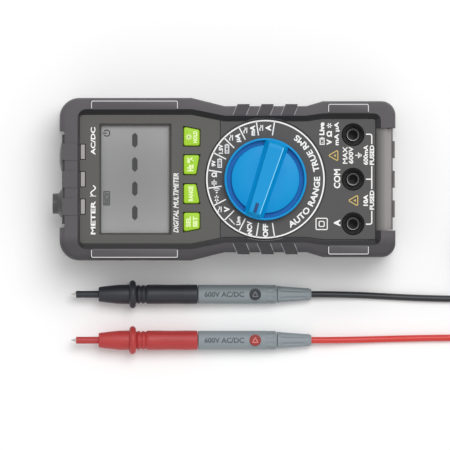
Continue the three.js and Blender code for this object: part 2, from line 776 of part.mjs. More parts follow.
// ---------------------------------------------------------------- selector

/** The finger ridge across the knob: its sides slope out to its foot, and it narrows to the pointer. */
function ridge() {
  const half = RIDGE_WIDTH / 2;
  const foot = half + RIDGE_SPREAD;
  const base = DISC_TOP - MOAT_DEPTH / 2;
  const top = DISC_TOP + RIDGE_HEIGHT;
  const section = new THREE.Shape();
  section.moveTo(-foot, base).lineTo(foot, base).lineTo(foot, DISC_TOP);
  section.lineTo(half, top).lineTo(-half, top);
  section.lineTo(-foot, DISC_TOP);
  const geometry = new THREE.ExtrudeGeometry(section, { depth: 2 * KNOB_RADIUS, bevelEnabled: false });
  geometry.rotateX(Math.PI / 2).translate(0, KNOB_RADIUS, 0);
  const points = geometry.attributes.position;
  for (let i = 0; i < points.count; i++) {
    const share = (points.getY(i) + KNOB_RADIUS) / (2 * KNOB_RADIUS);
    const narrower = (share * (RIDGE_WIDTH - RIDGE_POINTER_WIDTH)) / 2;
    points.setX(i, points.getX(i) - Math.sign(points.getX(i)) * narrower);
  }
  geometry.rotateZ(THREE.MathUtils.degToRad(POINTER_ANGLE) - Math.PI / 2);
  const reach = KNOB_RADIUS - KNOB_RIM / 2;
  const end = spun(
    [
      [base, 0],
      [base, reach],
      [KNOB_TOP, reach],
      [top, reach - RIDGE_BEVEL],
      [top, 0],
    ],
    dial,
  );
  return solid(geometry.translate(DIAL_X, 0, 0)).intersect(end);
}

function pointerSlot() {
  const angle = THREE.MathUtils.degToRad(POINTER_ANGLE);
  const top = DISC_TOP + RIDGE_HEIGHT;
  const geometry = new THREE.BoxGeometry(POINTER_LENGTH, POINTER_WIDTH, 2 * POINTER_DEPTH);
  geometry.translate(POINTER_RADIUS, 0, top).rotateZ(angle).translate(DIAL_X, 0, 0);
  return solid(geometry);
}

function selectorKnob() {
  const rim = KNOB_RADIUS - KNOB_RIM;
  const moatFloor = DISC_TOP - MOAT_DEPTH + DISC_DROP;
  const hubUnder = flangeUnder - GAP;
  const shaftEnd = BOARD_UNDER - GAP;
  const body = spun(
    [
      [shaftEnd, 0],
      [shaftEnd, SHAFT_RADIUS],
      [hubUnder, SHAFT_RADIUS],
      [hubUnder, HUB_RADIUS],
      [KNOB_BASE, HUB_RADIUS],
      [KNOB_BASE, KNOB_RADIUS],
      [KNOB_TOP - 0.5, KNOB_RADIUS - 0.2],
      [KNOB_TOP, KNOB_RADIUS - 0.6],
      [KNOB_TOP, Math.min(rim, MOAT_OUTER)],
      [moatFloor, MOAT_OUTER - 0.5],
      [moatFloor, MOAT_INNER + 0.4],
      [DISC_TOP, MOAT_INNER],
      [DISC_TOP, 0],
    ],
    dial,
  );
  return without(body.add(ridge()), pointerSlot());
}

function selectorRotor() {
  const top = flangeUnder - 2 * GAP;
  const under = top - ROTOR_THICK;
  const inner = SHAFT_RADIUS + GAP;
  const disc = spun(
    [[under, inner], [under, ROTOR_RADIUS], [top, ROTOR_RADIUS], [top, inner], [under, inner]],
    dial,
    24,
  );
  const wiper = (side) =>
    block(
      [DIAL_X - 1.2, DIAL_X + 1.2],
      [side * (ROTOR_RADIUS - 2), side * (inner + 2)].sort((a, b) => a - b),
      [BOARD_TOP + GAP, under + OVERSHOOT],
    );
  return joined(disc, ...MIRRORED.map(wiper));
}

// ---------------------------------------------------------------- jacks

function jackShroud(y) {
  const top = PANEL_TOP + SHROUD_RAISE;
  const floor = top - SHROUD_DEPTH;
  const hole = SLEEVE_RADIUS + GAP;
  return spun(
    [
      [floor, hole],
      [floor, SHROUD_RADIUS],
      [top, SHROUD_RADIUS],
      [top, SHROUD_BORE],
      [floor + 1.2, SHROUD_BORE],
      [floor + 1.2, hole],
      [floor, hole],
    ],
    [JACK_X, y],
    24,
  );
}

function jackSleeve(y) {
  const top = PANEL_TOP + SHROUD_RAISE - SLEEVE_SINK;
  const under = top - SLEEVE_LENGTH;
  return spun(
    [
      [under, 0],
      [under, SLEEVE_RADIUS],
      [top, SLEEVE_RADIUS],
      [top, SLEEVE_BORE],
      [under + 1, SLEEVE_BORE],
      [under + 1, 0],
    ],
    [JACK_X, y],
    24,
  );
}

// ---------------------------------------------------------------- board, batteries and screws

function mainBoard() {
  const z = [BOARD_UNDER, BOARD_TOP];
  const cut = [BOARD_UNDER - OVERSHOOT, BOARD_TOP + OVERSHOOT];
  return without(
    block([BOARD_LEFT, BOARD_RIGHT], [-BOARD_WIDTH / 2, BOARD_WIDTH / 2], z),
    post(SHAFT_RADIUS + GAP, dial, cut, 24),
    ...jackYs.map((y) => post(SLEEVE_RADIUS + GAP, [JACK_X, y], cut, 24)),
  );
}

const fuse = ({ radius, length, x }) =>
  rod(radius, [x, BOARD_UNDER - GAP - radius], [-length / 2, length / 2], 16);

const buzzer = () =>
  post(BUZZER_RADIUS, BUZZER_PLACE, [BOARD_UNDER - GAP - BUZZER_HEIGHT, BOARD_UNDER - GAP], 24);

/** A cell lying along Y, its raised contact towards the side given. */
function cell(x, side) {
  const z = FLOOR_TOP + GAP + CELL_RADIUS;
  const half = (CELL_LENGTH + CELL_NUB) / 2;
  const body = [side * -half, side * (half - CELL_NUB)].sort((a, b) => a - b);
  const nub = [side * (half - CELL_NUB - OVERSHOOT), side * half].sort((a, b) => a - b);
  return rod(CELL_RADIUS, [x, z], body, 24).add(rod(CELL_NUB_RADIUS, [x, z], nub, 16));
}

function batteryCover() {
  const y = grown(coverY, -GAP);
  return without(
    joined(
      block([BAY_LEFT + GAP, BAY_RIGHT - GAP], y, [CASE_BACK, FLOOR_TOP]),
      block([BAY_RIGHT - 2 * GAP, COVER_RIGHT - GAP], y, [CASE_BACK, CASE_BACK + COVER_TONGUE]),
    ),
    post(SCREW_SHANK + GAP, [COVER_SCREW_X, 0], [0, FLOOR_TOP], 16),
  );
}

/** A pan-head screw driven upward, its head's face at the height given. */
function screw(place, face, length, headThick) {
  const [x, y] = place;
  const arm = (along, across) =>
    block(
      [x - along / 2, x + along / 2],
      [y - across / 2, y + across / 2],
      [face - OVERSHOOT, face + Math.min(DRIVE_DEPTH, headThick / 2)],
    );
  return without(
    post(SCREW_HEAD, place, [face, face + headThick], 20).add(
      post(SCREW_SHANK, place, [face, face + headThick + length], 12),
    ),
    arm(DRIVE_LENGTH, DRIVE_WIDTH),
    arm(DRIVE_WIDTH, DRIVE_LENGTH),
  );
}

// ---------------------------------------------------------------- stand and the display end's fittings

function tiltStand() {
  const half = STAND_WIDTH / 2;
  const z = [standAxisZ - STAND_THICK / 2, standAxisZ + STAND_THICK / 2];
  const end = STAND_HINGE_X + STAND_LENGTH;
  return without(
    joined(
      block([STAND_HINGE_X, end], [-half, half], z),
      rod(STAND_THICK / 2, [STAND_HINGE_X, standAxisZ], [-half, half], 16),
      rod(STAND_PIN, [STAND_HINGE_X, standAxisZ], [-pinEnd, pinEnd], 16),
    ),
    post(FINGER_NOTCH, [end, 0], [0, CASE_BACK], 24),
  );
}

/** A profile of [reach, radius] points turned about an axis that points out of the display end. */
function onTopEnd(profile, [y, z]) {
  const face = CASE_END + TOP_END_REACH + GAP;
  const points = profile.map(([reach, radius]) => new THREE.Vector2(radius, reach));
  const geometry = new THREE.LatheGeometry(points, 24).rotateZ(Math.PI / 2);
  return solid(geometry.translate(-face, y, z));
}

const torchBezel = () =>
  onTopEnd(
    [
      [0, TORCH_BORE],
      [0, TORCH_FLARE],
      [0.3, TORCH_FLARE - 0.6],
      [1, TORCH_RADIUS + 0.3],
      [1.6, TORCH_RADIUS],
      [TORCH_REACH - 0.4, TORCH_RADIUS],
      [TORCH_REACH, TORCH_RADIUS - 0.4],
      [TORCH_REACH, TORCH_BORE],
      [0, TORCH_BORE],
    ],
    TORCH_PLACE,
  );

const torchLens = () => {
  const radius = TORCH_BORE - GAP;
  const dome = [
    [0, 0],
    [0, radius],
    [2, radius],
    [2.7, radius * 0.8],
    [3, radius * 0.45],
    [3.1, 0],
  ];
  return onTopEnd(dome, TORCH_PLACE);
};

const sensorCover = () =>
  onTopEnd(
    [
      [0, 0],
      [0, SENSOR_RADIUS],
      [SENSOR_REACH * 0.45, SENSOR_RADIUS * 0.8],
      [SENSOR_REACH * 0.85, SENSOR_RADIUS * 0.45],
      [SENSOR_REACH, 0],
    ],
    SENSOR_PLACE,
  );

// ---------------------------------------------------------------- test leads

/** The probe's hard front half: insulated nose, cone, finger guard, rings and barrel. */
function probeBarrel() {
  const bore = TIP_RADIUS + GAP;
  const boreEnd = TIP_LENGTH + GAP;
  const half = GUARD_THICK / 2;
  const guard = [-1, -0.7, 0, 0.7, 1].map((share) => [
    GUARD_AT + share * half,
    GUARD_RADIUS - (Math.abs(share) === 1 ? 1.1 : Math.abs(share) * 0.35),
  ]);
  const rings = RINGS_AT.flatMap((at) => [
    [at - RING_WIDTH / 2 - 0.2, RING_ROOT],
    [at - RING_WIDTH / 2, RING_RADIUS],
    [at + RING_WIDTH / 2, RING_RADIUS],
    [at + RING_WIDTH / 2 + 0.2, RING_ROOT],
  ]);
  return turned([
    [boreEnd, 0],
    [boreEnd, bore],
    [TIP_CONE, bore],
    [TIP_CONE + 0.3, NOSE_RADIUS],
    [SLEEVED_TO, NOSE_RADIUS],
    [SLEEVED_TO + 0.2, SHOULDER_RADIUS - 0.2],
    [SLEEVED_TO + 0.8, SHOULDER_RADIUS],
    [CONE_TO, GRIP_RADIUS],
    [GUARD_AT - half - 0.2, GRIP_RADIUS],
    ...guard,
    [GUARD_AT + half + 0.1, RING_ROOT],
    ...rings,
    [RINGS_AT[1] + 1.3, GRIP_RADIUS],
    [BARREL_END - 0.5, GRIP_RADIUS],
    [BARREL_END, GRIP_RADIUS - 0.4],
    [BARREL_END, 0],
  ]);
}

const probeTip = () =>
  turned([[0, 0], [TIP_CONE, TIP_RADIUS], [TIP_LENGTH, TIP_RADIUS], [TIP_LENGTH, 0]], 16);

function probeHandle() {
  const from = BARREL_END + GAP;
  const body = turned([
    [from, 0],
    [from, HANDLE_RADIUS - 0.15],
    [from + 0.3, HANDLE_RADIUS],
    [HANDLE_END - 0.7, HANDLE_RADIUS],
    [HANDLE_END, HANDLE_RADIUS - 0.5],
    [HANDLE_END, 0],
  ]);
  const floor = HANDLE_RADIUS - BADGE_DEPTH - GAP;
  return body.subtract(post(BADGE_RADIUS + GAP, [BADGE_AT, 0], [floor, 2 * HANDLE_RADIUS]));
}

const probeBadge = () =>
  post(BADGE_RADIUS, [BADGE_AT, 0], [HANDLE_RADIUS - BADGE_DEPTH, HANDLE_RADIUS + BADGE_PROUD]);

const strainRelief = () =>
  turned([
    [HANDLE_END + GAP, 0],
    [HANDLE_END + GAP, RELIEF_RADIUS],
    [RELIEF_END, RELIEF_TIP_RADIUS],
    [RELIEF_END, 0],
  ]);

const coilRadius = (COIL_ACROSS * CORD) / 2;
const coilInner = coilRadius - (COIL_LAYERS * CORD) / 2;
const coilOuter = coilRadius + (COIL_LAYERS * CORD) / 2;
const outerTurn = coilOuter - CORD_RADIUS;
const probeTilt = Math.atan((GUARD_RADIUS - HANDLE_RADIUS) / (HANDLE_END - 0.7 - GUARD_AT));

/** Where the cord's centreline leaves the strain relief. */
function cordExit(y) {
  const along = RELIEF_END + GAP - GUARD_AT;
  return new THREE.Vector3(
    PROBE_POINT_X + GUARD_AT + along * Math.cos(probeTilt),
    y,
    GUARD_RADIUS * Math.cos(probeTilt) - along * Math.sin(probeTilt),
  );
}

/** The stretch from the strain relief down to the bench and along it to the coil. */
function cordRun({ y, drift, coilX }) {
  const exit = cordExit(y);
  const inside = outerTurn - CORD_RADIUS;
  const end = coilX - Math.sqrt(coilOuter ** 2 - inside ** 2) - 2 * GAP;
  const route = CORD_ROUTE.map(([along, height, aside]) => {
    const z = CORD_RADIUS + height * (exit.z - CORD_RADIUS);
    return new THREE.Vector3(exit.x + along, y + aside * drift, z);
  });
  const points = [exit, ...route, new THREE.Vector3(end, y + drift, CORD_RADIUS)];
  const path = new THREE.CatmullRomCurve3(points, false, "centripetal");
  const section = new THREE.Shape().absarc(0, 0, CORD_RADIUS, 0, 2 * Math.PI);
  const steps = Math.round(path.getLength() / (2.5 * CORD));
  return solid(
    new THREE.ExtrudeGeometry(section, { steps, extrudePath: path, bevelEnabled: false, curveSegments: 8 }),
  );
}

const cordCoil = ({ y, drift, coilX }) =>
  spun(
    [
      [0, coilInner],
      [0, coilOuter],
      [COIL_LAYERS * CORD, coilOuter],
      [COIL_LAYERS * CORD, coilInner],
      [0, coilInner],
    ],
    [coilX, y + drift + outerTurn],
    40,
  );

/** The shrouded plug, lying along +Y with its cord end at the coil's side. */
function plugPieces() {
  const grip = PLUG_BOOT + GAP;
  const flange = grip + PLUG_GRIP;
  const shell = flange + PLUG_FLANGE_THICK;
  const end = shell + PLUG_SHELL;
  const pinFrom = flange - PLUG_PIN_SINK;
  const pinBore = PLUG_PIN_RADIUS + GAP;
  return {
    plug_boot: turned([
      [0, 0],
      [0, CORD_RADIUS + 0.5],
      [PLUG_BOOT - 1, PLUG_BOOT_RADIUS],
      [PLUG_BOOT, PLUG_BOOT_RADIUS],
      [PLUG_BOOT, 0],
    ]),
    plug_body: turned([
      [grip, 0],
      [grip, PLUG_RADIUS - 0.6],
      [grip + 1.5, PLUG_RADIUS],
      [flange, PLUG_RADIUS],
      [flange, PLUG_FLANGE],
      [shell, PLUG_FLANGE],
      [shell, PLUG_SHELL_RADIUS],
      [end, PLUG_SHELL_RADIUS],
      [end, PLUG_SHELL_BORE],
      [shell, PLUG_SHELL_BORE],
      [shell, pinBore],
      [pinFrom, pinBore],
      [pinFrom, 0],
    ]),
    plug_pin: turned(
      [
        [pinFrom + GAP, 0],
        [pinFrom + GAP, PLUG_PIN_RADIUS],
        [end - 2, PLUG_PIN_RADIUS],
        [end - 1, PLUG_PIN_RADIUS - 0.8],
        [end - 1, 0],
      ],
      16,
    ),
  };
}

// ---------------------------------------------------------------- materials and the assembly

const finish = (color, roughness, metalness = 0) =>
  new THREE.MeshStandardMaterial({ color, roughness, metalness });
const FINISHES = {
  rubber: finish(0x5e5c60, 0.75),
  casePlastic: finish(0x6c6969, 0.5),
  panel: finish(0x4c4a4a, 0.6),
  knob: finish(0x2a94d6, 0.4),
  key: finish(0xa9d52d, 0.5),
  glass: finish(0xdfe3e3, 0.1),
  lcd: finish(0x8d908e, 0.3),
  clear: finish(0xd9d7d4, 0.3),
  board: finish(0x1f5b34, 0.5),
  black: finish(0x111111, 0.35),
  steel: finish(0xb8b8b8, 0.3, 1),
  brass: finish(0xc9a85a, 0.3, 1),
  cell: finish(0x8a6a2c, 0.35, 0.4),
  ceramic: finish(0xd8d4c8, 0.4),
  greyGrip: finish(0x878f94, 0.6),
};

const model = new THREE.Group();
const meter = new THREE.Group();
model.add(meter);

function add(group, name, made, material) {
  const mesh = new THREE.Mesh(geometryOf(made), material);
  mesh.name = name;
  group.add(mesh);
}

add(meter, "holster", holster(), FINISHES.rubber);
add(meter, "front_case", frontCase(), FINISHES.casePlastic);
add(meter, "rear_case", rearCase(), FINISHES.casePlastic);
add(meter, "display_bezel", displayBezel(), FINISHES.panel);
add(meter, "jack_panel", jackPanel(), FINISHES.panel);
add(meter, "dial_plate", dialPlate(), FINISHES.panel);

const DISPLAY_FINISHES = {
  display_window: FINISHES.glass,
  lcd_glass: FINISHES.lcd,
  backlight: FINISHES.clear,
};
for (const [name, made] of Object.entries(displayStack())) {
  add(meter, name, made, DISPLAY_FINISHES[name]);
}
add(meter, "light_guide", lightGuide(), FINISHES.clear);

for (const { name, outline } of KEYS) add(meter, name, keyCap(outline), FINISHES.key);
add(meter, "keypad", keypad(), FINISHES.rubber);
add(meter, "selector_knob", selectorKnob(), FINISHES.knob);
add(meter, "selector_rotor", selectorRotor(), FINISHES.black);

["volt", "common", "amp"].forEach((which, i) => {
  add(meter, `jack_shroud_${which}`, jackShroud(jackYs[i]), FINISHES.black);
  add(meter, `jack_sleeve_${which}`, jackSleeve(jackYs[i]), FINISHES.steel);
});

add(meter, "main_board", mainBoard(), FINISHES.board);
for (const each of FUSES) add(meter, each.name, fuse(each), FINISHES.ceramic);
add(meter, "buzzer", buzzer(), FINISHES.black);
CELL_X.forEach((x, i) => add(meter, `battery_${i + 1}`, cell(x, MIRRORED[i]), FINISHES.cell));
add(meter, "battery_cover", batteryCover(), FINISHES.casePlastic);
add(
  meter,
  "battery_cover_screw",
  screw([COVER_SCREW_X, 0], GAP, COVER_SCREW_LENGTH, CASE_BACK - 2 * GAP),
  FINISHES.steel,
);
CASE_SCREWS.forEach((place, i) => {
  const shape = screw(place, CASE_BACK + GAP, SCREW_LENGTH, SCREW_HEAD_THICK);
  add(meter, `case_screw_${i + 1}`, shape, FINISHES.steel);
});
add(meter, "tilt_stand", tiltStand(), FINISHES.casePlastic);
add(meter, "torch_bezel", torchBezel(), FINISHES.casePlastic);
add(meter, "torch_lens", torchLens(), FINISHES.glass);
add(meter, "sensor_cover", sensorCover(), FINISHES.casePlastic);

for (const lead of LEADS) {
  const coloured = finish(lead.colour, 0.5);
  const probe = new THREE.Group();
  probe.position.set(PROBE_POINT_X + GUARD_AT, lead.y, GUARD_RADIUS * Math.cos(probeTilt));
  probe.rotation.y = probeTilt;
  const along = new THREE.Group();
  along.position.x = -GUARD_AT;
  probe.add(along);
  model.add(probe);
  add(along, `${lead.name}_probe_tip`, probeTip(), FINISHES.steel);
  add(along, `${lead.name}_probe_barrel`, probeBarrel(), coloured);
  add(along, `${lead.name}_probe_handle`, probeHandle(), FINISHES.greyGrip);
  add(along, `${lead.name}_probe_badge`, probeBadge(), coloured);
  add(along, `${lead.name}_strain_relief`, strainRelief(), FINISHES.greyGrip);
  add(model, `${lead.name}_cord`, cordRun(lead), coloured);
  add(model, `${lead.name}_cord_coil`, cordCoil(lead), coloured);
  const plug = new THREE.Group();
  const clearOfCoil = Math.sqrt(coilOuter ** 2 - (outerTurn - CORD_RADIUS - 0.5) ** 2) + 2 * GAP;
  const coilY = lead.y + lead.drift + outerTurn;
  plug.position.set(lead.coilX + outerTurn, coilY + clearOfCoil, PLUG_FLANGE);
  plug.rotation.z = Math.PI / 2;
  model.add(plug);
  const finishes = { plug_boot: FINISHES.greyGrip, plug_body: coloured, plug_pin: FINISHES.brass };
  for (const [name, made] of Object.entries(plugPieces())) {
    add(plug, `${lead.name}_${name}`, made, finishes[name]);
  }
}

export default model;
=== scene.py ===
"""A handheld multimeter with its two test leads: stage, cords, probes, housing, panel and knob."""

import math

import bmesh
import bpy
import numpy as np
from bpy.props import FloatProperty, FloatVectorProperty, IntProperty, PointerProperty
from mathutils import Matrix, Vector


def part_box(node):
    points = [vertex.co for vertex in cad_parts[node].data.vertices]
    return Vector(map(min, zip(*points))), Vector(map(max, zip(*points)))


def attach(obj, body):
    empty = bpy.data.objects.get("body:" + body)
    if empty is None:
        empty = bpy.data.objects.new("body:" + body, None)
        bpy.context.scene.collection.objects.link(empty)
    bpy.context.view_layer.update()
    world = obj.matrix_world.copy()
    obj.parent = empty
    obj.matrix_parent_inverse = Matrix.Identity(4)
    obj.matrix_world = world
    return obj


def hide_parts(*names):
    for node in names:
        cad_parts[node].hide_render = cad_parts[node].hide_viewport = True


bl_info = {
    "name": "Handheld multimeter",
    "version": (1, 0, 0),
    "blender": (4, 5, 0),
    "location": "View3D > Sidebar > Meter",
    "description": "Builds a handheld multimeter and its test leads around their CAD frame",
    "category": "Add Mesh",
}

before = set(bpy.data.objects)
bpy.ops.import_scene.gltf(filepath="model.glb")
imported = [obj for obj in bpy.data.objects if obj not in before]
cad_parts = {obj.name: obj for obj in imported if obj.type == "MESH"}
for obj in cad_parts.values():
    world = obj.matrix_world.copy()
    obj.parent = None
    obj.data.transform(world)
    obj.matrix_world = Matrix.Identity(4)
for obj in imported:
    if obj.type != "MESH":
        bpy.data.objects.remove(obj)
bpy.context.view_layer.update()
MM = 0.001
LEADS = ("black", "red")


def srgb(*levels):
    """A display colour of three levels from 0 to 255 as linear light."""
    share = np.array(levels) / 255
    linear = np.where(share <= 0.04045, share / 12.92, ((share + 0.055) / 1.055) ** 2.4)
    return tuple(float(x) for x in linear)


def colour_setting(name, words, *levels):
    """A colour that the panel shows."""
    start = srgb(*levels)
    return FloatVectorProperty(name=name, description=words, subtype="COLOR", default=start, min=0, max=1)


def length_setting(name, words, millimetres):
    """A length that the panel shows, given in millimetres."""
    start = millimetres * MM
    return FloatProperty(name=name, description=words, unit="LENGTH", default=start, min=0)


# ------------------------------------------------------------------ settings


class MeterColours(bpy.types.PropertyGroup):
    """Colours of the meter's own pieces."""

    holster: colour_setting("Holster", "Rubber holster", 82, 79, 83)
    case: colour_setting("Case", "Hard case that shows at both ends", 92, 90, 91)
    # the colour that painted light reaches at the case's jack end
    case_end_lit: colour_setting("Case end", "Bright end of the case at the jacks", 150, 147, 144)
    fittings: colour_setting("Fittings", "Torch and sensor cover", 84, 84, 84)
    bezel: colour_setting("Bezel", "Panel round the display", 80, 79, 76)
    jacks: colour_setting("Jack panel", "Panel round the dial and the jacks", 70, 68, 68)
    print: colour_setting("Print", "White lettering", 246, 246, 244)
    amber: colour_setting("Amber", "Amber signs", 205, 178, 98)
    knob: colour_setting("Knob", "Selector knob", 0, 147, 211)
    # painted shade in the knob's groove
    moat_shade: colour_setting("Knob groove", "Groove inside the knob's rim", 0, 112, 190)
    key: colour_setting("Keys", "Soft keys", 160, 208, 30)
    key_print: colour_setting("Key print", "Lettering on the keys", 232, 248, 186)
    lcd: colour_setting("Display", "Display at rest", 147, 147, 147)
    segment: colour_setting("Segments", "Dark display segments", 34, 34, 34)
    signal: colour_setting("Signal lights", "Unlit signal windows", 164, 160, 159)


class LeadColours(bpy.types.PropertyGroup):
    """Colours of the test leads."""

    black: colour_setting("Black probe", "Front half of the black probe", 46, 49, 56)
    red: colour_setting("Red probe", "Front half of the red probe", 184, 58, 58)
    black_cord: colour_setting("Black cord", "Cord of the black lead", 36, 38, 42)
    red_cord: colour_setting("Red cord", "Cord of the red lead", 214, 58, 52)
    grip: colour_setting("Grip", "Grey rear half of the probes", 140, 149, 154)


class LeadSizes(bpy.types.PropertyGroup):
    """Sizes of the cords."""

    cord_length: length_setting("Cord length", "From the probe to the plug", 920)
    turns: FloatProperty(
        name="Turns", description="Turns in each coil, a whole number and a quarter", default=8.25
    )
    across: IntProperty(name="Across", description="Rows of turns across a coil", default=3, min=1)


class FinishSizes(bpy.types.PropertyGroup):
    """Small sizes that the moulder and the printer set."""

    edge: length_setting("Edge", "Width of a moulded edge's rounding", 0.35)
    ink: length_setting("Ink", "Thickness of the print", 0.05)
    grain: length_setting("Grain", "Size of the plastic's spark-eroded grain", 0.22)


class StageSettings(bpy.types.PropertyGroup):
    """The floor, the light and the camera."""

    height: length_setting("Camera height", "Camera above the bench", 5000)
    width: length_setting("View width", "Width of the view at the panel", 192.15)
    floor: colour_setting("Floor", "Studio floor", 255, 255, 255)
    light: FloatProperty(name="Light", description="Strength of all light", default=0.96, min=0)


def settings():
    """The scene's settings for this object."""
    return bpy.context.scene.multimeter


class MeterSettings(bpy.types.PropertyGroup):
    """Everything that a user may change."""

    colours: PointerProperty(type=MeterColours)
    lead_colours: PointerProperty(type=LeadColours)
    leads: PointerProperty(type=LeadSizes)
    finish: PointerProperty(type=FinishSizes)
    stage: PointerProperty(type=StageSettings)


# ------------------------------------------------------------------ materials


class Number:
    """A shader socket that carries a number. Arithmetic on it adds Math nodes."""

    def __init__(self, paint, socket):
        self.paint = paint
        self.socket = socket

    def math(self, operation, first, second, clamp=False):
        options = {"operation": operation, "use_clamp": clamp}
        node = self.paint.node("ShaderNodeMath", options, {0: first, 1: second})
        return Number(self.paint, node.outputs[0])

    def clamped(self):
        return self.math("ADD", self, 0, clamp=True)

    def __add__(self, other):
        return self.math("ADD", self, other)

    def __sub__(self, other):
        return self.math("SUBTRACT", self, other)

    def __rsub__(self, other):
        return self.math("SUBTRACT", other, self)

    def __mul__(self, other):
        return self.math("MULTIPLY", self, other)

    def __gt__(self, other):
        return self.math("GREATER_THAN", self, other)

    __radd__ = __add__
    __rmul__ = __mul__


def rgba(colour):
    """A colour socket as it is, or three levels with full alpha."""
    return colour if isinstance(colour, bpy.types.NodeSocket) else (*colour, 1)


class Paint:
    """A material under construction."""

    def __init__(self, name):
        self.material = bpy.data.materials.new(name)
        self.material.use_nodes = True
        self.tree = self.material.node_tree
        self.tree.nodes.clear()
        self.place = self.node("ShaderNodeTexCoord").outputs["Object"]

    def node(self, kind, options=None, sockets=None):
        """A node of that type: its options are set first, then its sockets' values or links."""
        made = self.tree.nodes.new(kind)
        for name, value in (options or {}).items():
            setattr(made, name, value)
        for name, value in (sockets or {}).items():
            value = value.socket if isinstance(value, Number) else value
            if isinstance(value, bpy.types.NodeSocket):
                self.tree.links.new(value, made.inputs[name])
            else:
                made.inputs[name].default_value = value
        return made

    def noise(self, size, detail=2.0):
        """Noise from 0 to 1 about a half, with features of the size given, in metres."""
        sockets = {"Vector": self.place, "Scale": 1 / size, "Detail": detail}
        return Number(self, self.node("ShaderNodeTexNoise", None, sockets).outputs["Fac"])

    def axis(self, which, vector=None):
        """One of the place's coordinates, in metres, or of another vector's."""
        split = self.node("ShaderNodeSeparateXYZ", None, {0: vector or self.place})
        return Number(self, split.outputs[which])

    def shaded(self, colour, shade):
        """A colour darkened or lightened by a number."""
        options = {"data_type": "RGBA", "blend_type": "MULTIPLY"}
        return self.node("ShaderNodeMix", options, {0: 1.0, 6: rgba(colour), 7: shade}).outputs[2]

    def mixed(self, share, first, second):
        """Two colours mixed by a share from 0 to 1."""
        sockets = {0: share, 6: rgba(first), 7: rgba(second)}
        return self.node("ShaderNodeMix", {"data_type": "RGBA"}, sockets).outputs[2]

    def bump(self, height, distance):
        """A normal from a height that varies by about 1, spread over a distance in metres."""
        sockets = {"Height": height, "Distance": distance, "Strength": 1.0}
        return self.node("ShaderNodeBump", None, sockets).outputs["Normal"]

    def finish(self, **sockets):
        """Ends the material with a Principled shader that has the sockets given."""
        named = {
            name.replace("_", " "): rgba(value) if name == "Base_Color" else value
            for name, value in sockets.items()
        }
        shader = self.node("ShaderNodeBsdfPrincipled", None, named)
        self.node("ShaderNodeOutputMaterial", None, {"Surface": shader.outputs[0]})
        return self.material


def moulded(name, colour, roughness, grain=None, depth=0.012, cloud=0.05, coat=0.0, tint=None):
    """Moulded plastic or rubber: a fine eroded grain, with slow patches of shade and of shine.

    The tint is a function that paints shade and light over the colour across the piece.
    """
    paint = Paint(name)
    grain = grain or settings().finish.grain
    fine = paint.noise(grain, 3)
    slow = paint.noise(22 * MM, 3)
    scuff = paint.noise(4 * MM, 4)
    shade = 1 + (slow - 0.5) * (2 * cloud) + (fine - 0.5) * cloud + (scuff - 0.5) * (0.5 * cloud)
    return paint.finish(
        Base_Color=paint.shaded(tint(paint, colour) if tint else colour, shade),
        Roughness=roughness + (slow - 0.5) * 0.12 + (scuff - 0.5) * 0.1,
        Normal=paint.bump(fine, depth * MM),
        Coat_Weight=coat,
    )


# in millimetres from the meter's middle
SLOPE_AT = (64, 27)  # about where the rim's inner slope stands along and across the meter
GRIP_AT = 29.35  # the middle of a grip bar across the meter
GRIP_PITCH = 10.25  # from one bar to the next, along the meter
GRIP_HALF = 2.65  # half a bar's width
GRIP_SLANT = 0.42  # how far a bar leans along the meter for its reach across
GRIP_LOWEST = 30  # the height above which the bars' painted shade and highlights lie
PANEL_END = 60  # from here on the case is painted dark, as shade under the jack panel's edge
PAINTED_LIGHT_FROM = 63.6  # from here on painted light makes it grow lighter
RIBS_FROM = 69.95  # and from here on, on its ribs, it is darker again


def rim_shade_and_highlight(paint, colour):
    """Painted shade on the rim's inner slope, darkest on the +Y side, over the -Y side and on the grip bars,
    with painted highlights beside the bars.
    """
    facing = paint.node("ShaderNodeNewGeometry").outputs["Normal"]
    near_end = paint.axis("X") * (1 / (SLOPE_AT[0] * MM))
    near_side = paint.axis("Y") * (1 / (SLOPE_AT[1] * MM))
    # painted shade on the inner slopes that face the panel, found by their normals
    along = ((near_end * paint.axis("X", facing) * -1 - 0.2) * 8).clamped()
    across = ((near_side * paint.axis("Y", facing) * -1 - 0.2) * 8).clamped()
    slope = (along * 0.75 + across * (0.62 + (near_side > 0) * 0.36)).clamped()
    # painted shade over the whole -Y side of the rim
    dull = ((near_side + 0.9) * -8).clamped()
    painted_rubber = paint.mixed(dull, colour, [level * 0.6 for level in colour])
    bars, edges = grip_bars(paint)
    # painted shade on the grip bars, and a painted highlight on the bands beside them
    painted_rubber = paint.mixed(bars * (0.4 + dull * 0.2), painted_rubber, srgb(28, 27, 29))
    painted_rubber = paint.mixed(edges * 0.4, painted_rubber, srgb(205, 203, 206))
    return paint.mixed(slope, painted_rubber, srgb(20, 20, 22))


def grip_bars(paint):
    """Shares from 0 to 1 of the slanted bars on both waists, painted with shade, and of the bands beside
    them, painted with highlight.
    """
    x, y = paint.axis("X") * (1 / MM), paint.axis("Y") * (1 / MM)
    outward = y * ((y > 0) * 2 - 1)
    slanted = x - (outward - GRIP_AT) * GRIP_SLANT
    bars, edges = 0, 0
    for step in (-1, 0, 1):
        off = slanted - (DIAL[0] + step * GRIP_PITCH)
        squared = off * off
        bars = bars + (GRIP_HALF**2 - squared > 0)
        edges = edges + (squared > GRIP_HALF**2) * ((GRIP_HALF + 0.4) ** 2 - squared > 0)
    reach = (outward > GRIP_AT - 1.9) * (paint.axis("Z") > GRIP_LOWEST * MM)
    return bars * reach, edges * reach


